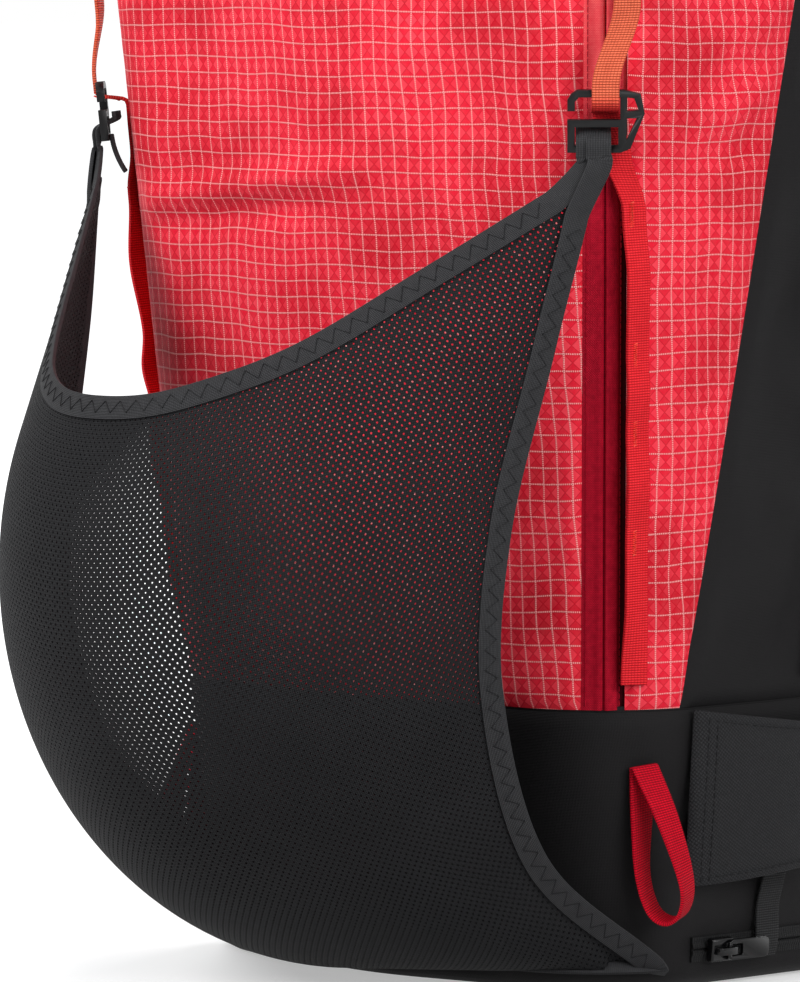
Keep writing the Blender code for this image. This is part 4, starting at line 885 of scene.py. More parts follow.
# %% [markdown]
# ## Base and lid
# The base is a wall of heavy black cloth on a round lower edge, with a flat floor. It is one grid wrapped
# round the skin and joined to itself, and the floor is a second grid that shrinks to a point, with its
# UV map read from above so that the weave runs straight. The lid is made in the same two pieces, with
# piping on the seam between them.

# %% Base
def inwards(u, outline_z, drawn, z):
    """Point of the skin's outline drawn in towards the middle by a share."""
    outline = skin(u, outline_z)
    middle = Vector((0, (BACK_Y + front_y(outline_z)) / 2, 0))
    point = outline.lerp(middle, drawn)
    return Vector((point.x, point.y, z))


EDGE_SHARE = BASE_EDGE / BOTTOM_FRONT_DEPTH
BASE_FOLDS = [
    (0.150, 0.060, 0.190, 0.030, 0.010, -0.0020),
    (0.120, 0.085, 0.150, 0.050, 0.009, -0.0018),
    (0.186, 0.078, 0.230, 0.092, 0.010, -0.0016),
]


def base_wall(s, t):
    u = mix(-5.0, 5.0, s)
    if t < 0.15:
        turn = t / 0.15 * math.pi / 2
        return inwards(u, BASE_EDGE, EDGE_SHARE * (1 - math.sin(turn)), BASE_EDGE * (1 - math.cos(turn)))
    z = mix(BASE_EDGE, BASE_HEIGHT - HALF_GAP, (t - 0.15) / 0.85)
    x = abs(flat(u, z)) if abs(u) < 4 else 1.0
    seam = BASE_HEIGHT - z
    tuck = -0.0015 * math.exp(-((seam / 0.0024) ** 2))
    folds = sum(ridge(x, z, fold) for fold in BASE_FOLDS)
    sag = -0.0008 * math.sin(math.pi * (t - 0.15) / 0.85) * (1 + math.sin(x / 0.011))
    return skin_frame(u, z, tuck + (folds + sag if abs(u) < 3.5 else 0.0)).translation


wall = closed_round(laid("base_wall", 260, 40, base_wall))
worked(wall, "SOLIDIFY", thickness=0.0014, offset=-1.0)
dress(wall, BLACK, "bag", "base_tub")
ground = laid("base_floor", 120, 12, lambda s, t: inwards(mix(5.0, -5.0, s), BASE_EDGE, mix(EDGE_SHARE, 1.0, t), 0.0001), plan=(0, 1))
closed_round(ground)
worked(ground, "SOLIDIFY", thickness=0.0014, offset=-1.0)
dress(ground, BLACK, "bag")


def seam_tape(s, t):
    return skin_frame(mix(-5.0, 5.0, s), BASE_HEIGHT + mix(-0.0016, 0.0016, t), -0.0018).translation


tape = closed_round(laid("base_seam_tape", 260, 2, seam_tape))
worked(tape, "SOLIDIFY", thickness=0.0004, offset=-1.0)
dress(tape, BLACK, "bag")
print("base: wall, floor and a tape behind the seam")

# %% Lid
RIM_LOW = RIM_HEIGHT + HALF_GAP
LID_TOP = RIM_HEIGHT + 0.074
LID_PROFILE = [(0, 0), (0.010, 0.40), (0.045, 0.66), (0.130, 0.85), (0.300, 0.96), (0.560, 1.0), (1.0, 1.01)]
LID_SEAM = 0.36


def spline(points, share):
    """Point on a smooth curve through evenly spaced points."""
    last = len(points) - 1
    place = min(max(share, 0.0), 1.0) * last
    k = min(int(place), last - 1)
    t = place - k
    p1, p2 = points[k], points[k + 1]
    p0 = points[k - 1] if k > 0 else 2 * p1 - p2
    p3 = points[k + 2] if k + 2 <= last else 2 * p2 - p1
    bend = (2 * p0 - 5 * p1 + 4 * p2 - p3) * t * t
    twist = (3 * p1 - p0 - 3 * p2 + p3) * t * t * t
    return 0.5 * (2 * p1 + (p2 - p0) * t + bend + twist)


def lid_point(u, share):
    """Point of the lid: round the rim and from the rim to the middle of the top."""
    drawn, rise = spline([Vector(p) for p in LID_PROFILE], share)
    point = inwards(u, RIM_HEIGHT, drawn, 0.0)
    tuck = 0.0014 * math.exp(-(((share - LID_SEAM) / 0.012) ** 2)) + 0.0012 * math.exp(-((share / 0.02) ** 2))
    wave = 0.0012 * math.sin(point.x / 0.021 + 1.3 * u) * math.sin(math.pi * min(share * 1.2, 1.0))
    z = mix(RIM_LOW, LID_TOP, rise) + 0.10 * (point.y - BACK_Y) * rise - 0.4 * tuck + wave
    return Vector((point.x * (1 - tuck * 6), point.y * (1 - tuck * 6), z))


skirt = closed_round(laid("lid_skirt", 220, 22, lambda s, t: lid_point(mix(-5, 5, s), t * LID_SEAM)))
worked(skirt, "SOLIDIFY", thickness=0.0012, offset=-1.0)
dress(skirt, RED, "lid", "lid")
crown = laid("lid_crown", 220, 34, lambda s, t: lid_point(mix(-5, 5, s), mix(LID_SEAM, 1.0, t)), plan=(0, 1))
closed_round(crown, 0.0002)
worked(crown, "SOLIDIFY", thickness=0.0012, offset=-1.0)
dress(crown, RED, "lid")
PIPING = Finish("dark_red_piping", "crimson_zip", 0.55)
PIPING.colours(PIPING.blend(PIPING.noise(0.0015), colour(128, 4, 22), colour(196, 18, 44)))
ring = [lid_point(mix(-5, 5, k / 200), LID_SEAM) + Vector((0, 0, 0.0006)) for k in range(201)]
sewn("lid_piping", [ring], 0.0015, PIPING, "lid")


def hinge_tape(s, t):
    """Tape sewn inside the back's upper edge and inside the lid."""
    return Vector((mix(0.085, -0.085, t), BACK_Y - 0.0036, RIM_HEIGHT + mix(-0.011, 0.011, s)))


tape = dress(band("lid_hinge_tape", 24, 60, hinge_tape, 0.001, 0.0), BINDING, None)
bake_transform(tape)
print("lid: skirt, crown, piping and hinge tape")

# %% [markdown]
# ## Zips
# The corner zip is a reverse coil: the coil is inside, so the face is a smooth tape with a slit along its
# middle and a faint swelling at both sides. The grid is fine enough across to carry that profile, and
# the finish adds the turns of the coil. The base zip and the rim zip are narrower tapes of the same kind.

# %% Corner zip
def zip_profile(across, coil):
    """Lift of a zip tape at a distance from its middle."""
    swelling = 0.0007 * math.exp(-((abs(across) / coil) ** 4))
    return swelling - 0.0011 * math.exp(-((across / 0.00045) ** 2))


def corner_zip(s, t):
    z = mix(BASE_HEIGHT + HALF_GAP, RIM_HEIGHT - HALF_GAP, t)
    across = ZIP_TAPE * (s - 0.5)
    dip = 0.0022 * math.exp(-(((across - 0.0072) / 0.0016) ** 2))
    return skin_frame(mix(front_edge, rear_edge, s), z, zip_profile(across, 0.003) - 0.0013 - dip).translation


tape = laid("corner_zip_tape", 40, 130, corner_zip)
worked(tape, "SOLIDIFY", thickness=0.001, offset=-1.0)
dress(tape, ZIP, "bag", "front_zip")


def up_the_skin(u, low, high, lift, count=160):
    """Frames up the skin at one place round the bag."""
    return [skin_frame(u, mix(low, high, k / count), lift) for k in range(count + 1)]


rows = []
for offset in (-0.0064, 0.0058):
    rows += stitches(up_the_skin(moved_u(ZIP_U, 0.3, offset), BASE_HEIGHT + 0.002, RIM_HEIGHT - 0.018, -0.0010), 0.0026)
sewn("corner_zip_stitches", rows, 0.00018, CRIMSON_THREAD, "bag")


# %% Base zip, rim zip, sliders and pulls
def base_zip(s, t):
    z = 0.0145 - 0.009 * (s - 0.5)
    lift = CLEAR + zip_profile(0.009 * (s - 0.5), 0.002)
    return skin_frame(side_u(mix(-0.030, 0.055, t), z), z, lift).translation


tape = band("base_zip_tape", 24, 60, base_zip, 0.001, -0.2)
dress(tape, BLACK_ZIP, "bag", "base_zip")


def rim_zip(s, t):
    z = RIM_HEIGHT - 0.007 - 0.010 * (s - 0.5)
    lift = 2 * CLEAR + zip_profile(0.010 * (s - 0.5), 0.0022)
    return skin_frame(mix(-2.95, 2.95, t), z, lift).translation


tape = band("rim_zip_tape", 24, 240, rim_zip, 0.001, -0.2)
dress(tape, ZIP, "bag", "lid_zip")
for zip_name, slider_body, pull_body in (
    ("front_zip", "front_slider", "front_pull"),
    ("base_zip", "base_slider", "base_pull"),
    ("lid_zip", "lid_slider", "lid_pull"),
):
    moulded(f"{zip_name}_slider", SLIDER, slider_body, 0.0005, 3)
    moulded(f"{zip_name}_pull", SLIDER, pull_body, 0.0004, 3)
print("zips: 3 tapes, sliders and pulls")

# %% [markdown]
# ## Hooks and gear straps
# The net hangs from two moulded hooks, each with an open arm that catches the strap, a bar that the
# net's tab is sewn round and a skeleton frame. Their outlines are right in CAD, so a merged copy only
# gets round edges. The strap runs under the hook's bar, over its arm and down beside the zip. Between
# its bar tacks it stands off the cloth a little, which is what gives webbing its life.

# %% Hooks
HOOK_Z = 0.313
HOOK_LIFT = 0.0095
HOOK_LOW_BAR = -0.0097


def hook_frame(side):
    return skin_frame(side * ZIP_U, HOOK_Z, HOOK_LIFT)


for side, word in SIDES:
    moulded(f"net_hook_{word}", PLASTIC, f"net_hook_{word}", 0.00105, 4)
print("hooks: 2")

# %% Gear straps
STRAP_WIDTH = 0.0096
STRAP_INNER = 0.0122
STRAP_SEAT = 0.0008
STRAP_LINE = [
    (0.112, STRAP_SEAT, 0.0),
    (0.1635, STRAP_SEAT, 0.0),
    (0.1835, 0.0030, 0.0),
    (0.2023, STRAP_SEAT, 0.0),
    (0.2165, 0.0026, 0.0),
    (0.2299, STRAP_SEAT, 0.0),
    (0.2560, 0.0030, 0.02),
    (0.2797, STRAP_SEAT, 0.12),
    (0.3015, 0.0010, 0.60),
    (0.3145, STRAP_SEAT, 0.95),
    (0.3157, 0.0012, 1.0),
    (0.3184, 0.0106, 1.0),
    (0.3198, STRAP_INNER, 1.0),
    (0.3250, STRAP_INNER, 1.0),
    (0.3540, STRAP_INNER * 0.62, 0.42),
    (0.4040, STRAP_SEAT, 0.1),
    (0.4550, STRAP_SEAT, 0.0),
]
stations = []
for (z0, l0, h0), (z1, l1, h1) in zip(STRAP_LINE, STRAP_LINE[1:]):
    count = max(2, math.ceil(math.hypot(z1 - z0, l1 - l0) / 0.002))
    for k in range(count):
        share = ease(k / count)
        stations.append((mix(z0, z1, k / count), mix(l0, l1, share), mix(h0, h1, share)))
stations.append(STRAP_LINE[-1])


def strap_frame_at(side, z, lift, hooked):
    """Frame on a gear strap, moved over towards the hook by a share. Below the hook the strap leans,
    with its front edge off the bag."""
    offset = mix(0.0106, -0.0002, hooked)
    lean = math.radians(24) * (1.0 - ease(hooked * 1.6)) * ease((z - 0.112) / 0.03)
    raised = lift + 0.005 * math.sin(lean)
    return skin_frame(side * moved_u(ZIP_U, z, offset), z, raised) @ Matrix.Rotation(side * lean, 4, "Y")


for side, word in SIDES:

    def gear(s, t, side=side):
        z, lift, hooked = stations[round(t * (len(stations) - 1))]
        return strap_frame_at(side, z, lift, hooked) @ Vector((side * STRAP_WIDTH * (s - 0.5), 0, 0))

    dress(band(f"gear_webbing_{word}", 8, len(stations) - 1, gear, WEBBING), ORANGE, "bag", f"gear_strap_{word}")
    tacks = []
    for z, hooked in ((0.1635, 0.0), (0.2023, 0.0), (0.2299, 0.0), (0.2797, 0.12), (0.4300, 0.05)):
        up = [strap_frame_at(side, z + 0.009 * (k / 20 - 0.5), STRAP_SEAT + WEBBING, hooked) for k in range(21)]
        tacks += zigzag(up, 0.0015, 0.0007, 0.0003, -0.001 * side)
    dive = [(z, lift, hooked) for z, lift, hooked in stations if 0.3155 < z < 0.3186]
    down = [strap_frame_at(side, z + 0.0006, lift + WEBBING * 1.3, hooked) for z, lift, hooked in dive]
    for x in (-0.003, -0.001, 0.001, 0.003):
        tacks += zigzag(down, 0.0022, 0.0009, 0.0003, x)
    sewn(f"gear_tacks_{word}", tacks, 0.00026, RED_THREAD, "bag")
print("gear straps: 2, with 5 bar tacks each")

# %% [markdown]
# ## Axe loops
# A short webbing strip is folded in a drop, sewn into the base seam and twisted so that the loop stands
# open. Points down its middle line come from the CAD source, with a smooth curve through them, and the
# strip turns about that line as it goes down.

# %% Axe loops
LOOP_LIFT = WEBBING / 2 + CLEAR
LOOP_STAND = 0.005 * math.sin(math.radians(48)) + LOOP_LIFT
LOOP_LINE = [
    (0.0, LOOP_LIFT, 0.0, 0.0),
    (0.35, LOOP_STAND * 0.75, 0.5, -0.6),
    (0.70, LOOP_STAND * 1.15, 0.9, -1.0),
    (0.93, LOOP_STAND * 1.15 + 0.0030, 1.0, -0.7),
    (1.0, LOOP_STAND * 1.15 + 0.0075, 1.0, 0.1),
    (0.92, LOOP_STAND * 1.15 + 0.01275, 1.0, 0.8),
    (0.72, LOOP_STAND * 1.15 + 0.015, 0.9, 1.0),
    (0.35, LOOP_STAND + 0.009, 0.5, 0.6),
    (0.0, LOOP_LIFT + WEBBING + CLEAR, 0.0, 0.0),
]
for side, word in SIDES:
    hung = skin_frame(side * 1.70, 0.083) @ Matrix.Rotation(side * math.radians(8), 4, "Z")

    def loop(s, t, hung=hung, side=side):
        down, out, twist, sway = spline([Vector(p) for p in LOOP_LINE], t)
        turn = Matrix.Rotation(side * math.radians(48) * twist, 3, "Y")
        return hung @ (Vector((side * 0.0055 * sway, -0.055 * down, out)) + turn @ Vector((0.010 * (s - 0.5), 0, 0)))

    dress(band(f"loop_webbing_{word}", 8, 90, loop, WEBBING, 0.0), LOOP_RED, f"axe_loop_{word}", f"axe_loop_{word}")
print("axe loops: 2")

# %% [markdown]
# ## Helmet net
# The net is a dome pulled out to two hooks and two base corners. Its holes could be a transparent
# picture of holes, but then the rim of each hole and the light through it would be lost, so they are
# real. The net's cloth is unwrapped flat with little stretch, a grid turned by 45 degrees is cut to that
# shape, one diamond per hole, and carried back onto the dome. Each face is then inset and its inside
# deleted, and Solidify gives the yarn its thickness. Three pieces keep each mesh small.

# %% Net formula
NET_MIDDLE = Vector((0.0, -0.085, 0.150))
NET_REACH = Vector((0.116, 0.140, 0.146))
NET_DIP = 0.214
BINDING_WIDTH = 0.0085


def net_hold(side):
    """Upper corner of the net, under its hook."""
    return hook_frame(side) @ Vector((-0.0035 * side, HOOK_LOW_BAR - 0.0062, 0.0))


def low_edge(s):
    """Point along the lower edge, s from -1 to 1 round the front of the base."""
    return skin_frame(s * 1.82, 0.009, 0.0036).translation


def in_reach(point):
    away = point - NET_MIDDLE
    return Vector([away[k] / NET_REACH[k] for k in range(3)])


net_holds = [in_reach(net_hold(1)), in_reach(net_hold(-1))]
net_holds += [in_reach(low_edge(k / 6)) for k in range(-6, 7)]
net_holds = [hold for hold in net_holds if hold.length > 1.0]


def on_net(point):
    """Point pushed out from the middle to the dome or to the cones that hold it."""
    away = in_reach(point).normalized()
    reach = 1.0
    for hold in net_holds:
        edge = math.acos(1.0 / hold.length)
        turn = away.angle(hold)
        if turn < edge:
            reach = max(reach, 1.0 / math.cos(edge - turn))
    return NET_MIDDLE + Vector([away[k] * reach * NET_REACH[k] for k in range(3)])


NET_SIDE = [low_edge(1)] + [Vector(p) for p in ((0.099, -0.094, 0.056), (0.112, -0.124, 0.115), (0.110, -0.122, 0.170), (0.112, -0.106, 0.230))]
NET_SIDE += [net_hold(1)]
NET_TOP = [net_hold(1)] + [Vector((x, y, NET_DIP + z)) for x, y, z in ((0.086, -0.132, 0.041), (0.058, -0.172, 0.015), (0.030, -0.200, 0.003), (0, -0.208, 0))]
NET_TOP += [Vector((-p.x, p.y, p.z)) for p in NET_TOP[-2::-1]]


def side_edge(side, t):
    point = spline(NET_SIDE, t)
    return Vector((side * point.x, point.y, point.z))


def top_edge(s):
    return spline(NET_TOP, (1 - s) / 2)


def net_point(s, t):
    """Point of the net: s across from -1 to 1, t up from 0 to 1."""
    share = (s + 1) / 2
    point = low_edge(s) * (1 - t) + top_edge(s) * t
    point += side_edge(-1, t) * (1 - share) + side_edge(1, t) * share
    corners = (low_edge(-1) * (1 - share) + low_edge(1) * share) * (1 - t)
    corners += (top_edge(-1) * (1 - share) + top_edge(1) * share) * t
    return on_net(point - corners)


def net_frame(s, t, lift=0.0):
    """Frame on the net: X across, Y up, Z out."""
    step = 0.004
    across = (net_point(min(s + step, 1), t) - net_point(max(s - step, -1), t)).normalized()
    up = net_point(s, min(t + step, 1)) - net_point(s, max(t - step, 0))
    out = across.cross(up).normalized()
    made = Matrix((across, out.cross(across), out)).transposed().to_4x4()
    made.translation = net_point(s, t) + out * lift
    return made


def side_band(t):
    """Share of s that a binding's width takes at a height."""
    return BINDING_WIDTH / ((net_point(1.0, t) - net_point(0.98, t)).length / 0.02)


def top_band(s):
    """Share of t that a binding's width takes along the top."""
    return min(BINDING_WIDTH / ((net_point(s, 1.0) - net_point(s, 0.98)).length / 0.02), 0.12)


print("net: dips to", round(top_edge(0).z, 3), "m")

# %% Net cloth laid flat
def net_cloth(s, t):
    half = 1.0 - side_band(t * 0.94) * 0.5
    across = mix(-half, half, s)
    return net_point(across, t * (1.0 - top_band(across) * 0.5))


cloth = laid("net_cloth", 84, 64, net_cloth)
alone(cloth)
bpy.ops.object.mode_set(mode="EDIT")
bpy.ops.mesh.select_all(action="SELECT")
bpy.ops.uv.unwrap(method="MINIMUM_STRETCH", margin=0.0)
bpy.ops.object.mode_set(mode="OBJECT")
cloth.data.calc_loop_triangles()
triangles = [tuple(triangle.vertices) for triangle in cloth.data.loop_triangles]
on_dome = [vertex.co.copy() for vertex in cloth.data.vertices]
laid_flat = [Vector((0, 0, 0)) for vertex in on_dome]
for loop, spot in zip(cloth.data.loops, cloth.data.uv_layers.active.data):
    laid_flat[loop.vertex_index] = Vector((*spot.uv, 0))
flat_area = sum(area_tri(*[laid_flat[k] for k in triangle]) for triangle in triangles)
real_area = sum(face.area for face in cloth.data.polygons)
middle_up = laid_flat[64 * 85 + 42] - laid_flat[42]
upright = Matrix.Rotation(math.pi / 2 - math.atan2(middle_up.y, middle_up.x), 3, "Z")
laid_flat = [upright @ spot * math.sqrt(real_area / flat_area) for spot in laid_flat]
corners = np.array(laid_flat)
laid_flat = [spot - Vector((corners[:, 0].mean(), corners[:, 1].mean(), 0)) for spot in laid_flat]
flat_net = BVHTree.FromPolygons(laid_flat, triangles)
width, height = np.ptp(corners[:, 0]), np.ptp(corners[:, 1])
bpy.data.objects.remove(cloth)
print("net cloth:", round(width, 3), "by", round(height, 3), "m flat")

# %% Net with holes
HOLE_ACROSS, HOLE_UP = 0.0028, 0.0031
count = math.ceil(1.3 * (width / HOLE_ACROSS + height / HOLE_UP))
bpy.ops.object.select_all(action="DESELECT")
bpy.ops.mesh.primitive_grid_add(x_subdivisions=count, y_subdivisions=count, size=count)
net = bpy.context.object
net.name = "net_middle"
bpy.ops.object.mode_set(mode="EDIT")
bpy.ops.mesh.select_all(action="SELECT")
bpy.ops.transform.rotate(value=math.pi / 4, orient_axis="Z", center_override=(0, 0, 0))
size = (HOLE_ACROSS * math.sqrt(0.5), HOLE_UP * math.sqrt(0.5), 1.0)
bpy.ops.transform.resize(value=size, center_override=(0, 0, 0))
bpy.ops.mesh.select_mode(type="FACE")
bpy.ops.mesh.select_all(action="DESELECT")
bpy.ops.object.mode_set(mode="OBJECT")
outside = [flat_net.find_nearest(face.center)[3] > 1e-6 for face in net.data.polygons]
net.data.polygons.foreach_set("select", outside)
bpy.ops.object.mode_set(mode="EDIT")
bpy.ops.mesh.delete(type="FACE")
bpy.ops.object.mode_set(mode="OBJECT")
metres = net.data.uv_layers.active
metres.name = "metres"
for loop, spot in zip(net.data.loops, metres.data):
    spot.uv = net.data.vertices[loop.vertex_index].co.xy
for vertex in net.data.vertices:
    spot, normal, index, away = flat_net.find_nearest(vertex.co)
    near = [laid_flat[k] for k in triangles[index]]
    vertex.co = barycentric_transform(spot, *near, *[on_dome[k] for k in triangles[index]])
net.data.update()
outward = net.data.polygons[len(net.data.polygons) // 2].normal.y < 0
print("net:", len(net.data.polygons), "holes, faces look", "out" if outward else "in")

# %% Net pieces
pieces = [net]
for name, side in (("net_left", -1), ("net_right", 1)):
    alone(net)
    net.data.polygons.foreach_set("select", [side * face.center.x > 0.042 for face in net.data.polygons])
    bpy.ops.object.mode_set(mode="EDIT")
    bpy.ops.mesh.separate(type="SELECTED")
    bpy.ops.object.mode_set(mode="OBJECT")
    made = [o for o in bpy.context.selected_objects if o is not net][0]
    made.name = name
    pieces.append(made)

for piece in pieces:
    alone(piece)
    area = sum(face.area for face in piece.data.polygons)
    bpy.ops.object.mode_set(mode="EDIT")
    bpy.ops.mesh.select_all(action="SELECT")
    bpy.ops.mesh.inset(thickness=0.325, use_individual=True, use_relative_offset=True)
    bpy.ops.mesh.delete(type="FACE")
    bpy.ops.object.mode_set(mode="OBJECT")
    worked(piece, "SOLIDIFY", thickness=0.0007, offset=0.0)
    dress(piece, NET, "bag")
    print(piece.name, "cloth", round(area, 4), "m2,", len(piece.data.polygons), "faces")
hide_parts("helmet_net")

# %% [markdown]
# ## Net bindings
# The net's edges are folded into elastic binding and sewn with a zigzag that can stretch. Each binding is
# a strip on a middle line: it follows the net, leaves it below the hook, goes up in front of the hook's
# lower bar, through its window and behind its middle bar. The side binding lies over the top one, so its
# wrap is a little wider. Frames along the middle line carry the strip and its thread.

# %% Binding paths
def strip_frames(points, across):
    """Frames along a strip: X across it, Y along it, Z out."""
    made = []
    for k, point in enumerate(points):
        ahead = points[min(k + 1, len(points) - 1)] - points[max(k - 1, 0)]
        out = across[k].cross(ahead).normalized()
        turned = Matrix((ahead.cross(out).normalized(), ahead.normalized(), out)).transposed().to_4x4()
        turned.translation = point
        made.append(turned)
    return made


def round_the_bar(side, x, away):
    """Line in front of a hook's lower bar, through its window and up behind its middle bar, with
    room behind it for the hook's tilt."""
    behind = -away - 0.0016
    line = [(-0.0060, 1.1 * away), (-0.0022, away), (0.0014, away), (0.0036, 0.7 * away)]
    line += [(0.0051, 0.25 * behind), (0.0065, 0.95 * behind), (0.0079, behind), (0.0093, behind)]
    return [hook_frame(side) @ Vector((side * x, HOOK_LOW_BAR + y, z)) for y, z in line]


def carried_on(points, across, side, x, away):
    """Middle line and directions across it, carried on from the net round a hook's bar."""
    guide = [points[-9], points[-1]] + round_the_bar(side, x, away)
    first, last = across[-1], hook_frame(side).col[0].to_3d()
    step = 1 / (len(guide) - 1)
    for k in range(1, 65):
        share = mix(step, 1.0, k / 64)
        turn = ease((share - step) / (2.2 * step))
        points.append(spline(guide, share))
        across.append(first.lerp(last, turn).normalized())
    return points, across


def last_before(spot_at, hold, distance):
    """Largest share whose place is still this far from a point."""
    return max(k / 200 for k in range(100, 200) if (spot_at(k / 200) - hold).length > distance)


def bound(name, frames, *nodes):
    """Binding along frames, a little crowned."""

    def place(s, t):
        return frames[round(t * (len(frames) - 1))] @ Vector((BINDING_WIDTH * (s - 0.5), 0, 0.0004 * math.sin(math.pi * s)))

    return dress(band(name, 8, len(frames) - 1, place, 0.0014, 0.0), BINDING, "bag", *nodes)


# %% Net bindings
top_end = last_before(lambda s: net_point(s, 1.0 - top_band(s) * 0.5), net_hold(1), 0.019)
spots = [net_frame(s, 1.0 - top_band(s) * 0.5, 0.0005) for s in np.linspace(-top_end, top_end, 240)]
points = [spot.translation for spot in spots]
across = [-spot.col[1].to_3d() for spot in spots]
for side in (1, -1):
    points, across = carried_on(points, across, side, -0.0062, 0.0026)
    points = points[::-1]
    across = [-way for way in reversed(across)]
frames = strip_frames(points, across)
bound("top_binding", frames, "net_top_binding")
sewn("top_binding_zigzag", zigzag(frames[66:-66], 0.0046, 0.0070, 0.0012), 0.00016, DARK_THREAD, "bag")
for side, word in SIDES:
    end = last_before(lambda t: net_point(1.0 - side_band(t) * 0.5, t), net_hold(1), 0.019)
    heights = np.linspace(0.0, end, 200)
    spots = [net_frame(side * (1.0 - side_band(t) * 0.5), t, 0.0006 + 0.0014 * ease((t - end + 0.15) / 0.15)) for t in heights]
    foot = [spots[0] @ Vector((0, -0.003 * k, -0.0011 * k * k)) for k in (3, 2, 1)]
    points = foot + [spot.translation for spot in spots]
    across = [spots[0].col[0].to_3d()] * 3 + [spot.col[0].to_3d() for spot in spots]
    frames = strip_frames(*carried_on(points, across, side, -0.0026, 0.0040))
    bound(f"side_binding_{word}", frames, f"net_binding_{word}", f"net_tab_{word}")
    low_bar = hook_frame(side) @ Matrix.Translation((-0.0045 * side, HOOK_LOW_BAR, -0.0024))
    tail = [low_bar @ Vector((0, 0.0010 - 0.0145 * k / 12, -0.0038 * (k / 12) ** 2)) for k in range(13)]
    bound(f"tab_tail_{word}", strip_frames(tail, [-low_bar.col[0].to_3d()] * 13))
    sewn(f"side_zigzag_{word}", zigzag(frames[6:-66], 0.0046, 0.0070, 0.0012), 0.00016, DARK_THREAD, "bag")


def hem(s, t):
    """Strip that sews the net's lower edge to the base."""
    return skin_frame(mix(1.82, -1.82, t), mix(0.012, 0.0085, s), mix(0.0002, 0.0046, s)).translation


dress(band("net_hem", 4, 160, hem, 0.0012, 0.0), BINDING, "bag")
print("bindings: 3, a hem and zigzag thread; top ends at", top_end)

# %% [markdown]
# ## Ski wings and side straps
# A wing is a stiff strip of coarse cloth that stands off the side so that a ski slides under it. It is a
# bowed grid, sewn down at both ends with rows of thread. Behind it a ribbed webbing runs up the side.

# %% Ski wings
def wing_spot(side, along, t, extra=0.0):
    y = mix(-0.036, 0.062, along)
    z = mix(mix(0.038, 0.050, along), mix(0.102, 0.090, along), t)
    bow = 0.013 * max(math.sin(math.pi * along), 0.0) ** 0.7
    sag = 0.0012 * math.sin(math.pi * t) * math.sin(math.pi * along)
    return skin_frame(side * side_u(y, z), z, CLEAR + bow + sag + extra)


for side, word in SIDES:

    def wing(s, t, side=side):
        return wing_spot(side, s if side > 0 else 1.0 - s, t).translation

    dress(band(f"wing_{word}", 60, 24, wing, 0.002, 1.0), WING, "bag", f"ski_wing_{word}")
    rows = []
    for along in (0.035, 0.065, 0.935, 0.965):
        rows += stitches([wing_spot(side, along, k / 40, 0.0020) for k in range(1, 40)])
    for t in (0.05, 0.95):
        rows += stitches([wing_spot(side, mix(0.03, 0.97, k / 60), t, 0.0020) for k in range(61)])
    sewn(f"wing_stitches_{word}", rows, 0.00026, DARK_THREAD, "bag")

    def side_web(s, t, side=side):
        z = mix(0.110, 0.385, t)
        y = 0.030 + side * 0.020 * (s - 0.5)
        return skin_frame(side * side_u(y, z), z, CLEAR).translation

    dress(band(f"side_webbing_{word}", 8, 120, side_web, WEBBING), BLACK_WEB, "bag", f"side_strap_{word}")

    def tail(s, t, side=side):
        z = mix(0.010, 0.050, t)
        y = mix(0.004, 0.014, t) + side * 0.012 * (s - 0.5)
        return skin_frame(side * side_u(y, z), z, CLEAR + (0.0035 if side > 0 else 0.0) * ease((0.5 - t) / 0.4)).translation

    dress(band(f"wing_tail_{word}", 6, 24, tail, 0.001), BLACK_WEB, "bag")
print("wings: 2, with side webbing")

# %% [markdown]
# ## Pads, shoulder straps and hip wings
# Foam under stretched mesh swells between its seams. Each pad starts as a merged copy of its solid, made
# a little smaller, remeshed and blown up by Blender's cloth with pressure and no gravity. Only the
# swelling off the surface is kept, up to a cap, so the edges stay at their tape, and the side that rests
# on the bag is held flat. Subdivision then smooths it, and the sewn channels are pressed in afterwards,
# because the remesh would erase them.

# %% Cloth pads
def merged_copy(node, name):
    """Merged copy of a solid, alone and unparented."""
    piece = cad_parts[node].copy()
    piece.data = piece.data.copy()
    piece.name = name
    piece.parent = None
    for key in list(piece.keys()):
        del piece[key]
    scene.collection.objects.link(piece)
    return closed_round(piece, 0.00001)


def corners_of(piece, what="co"):
    """Coordinates or normals of a mesh's points as a table."""
    table = np.zeros(len(piece.data.vertices) * 3)
    piece.data.vertices.foreach_get(what, table)
    return table.reshape(-1, 3)


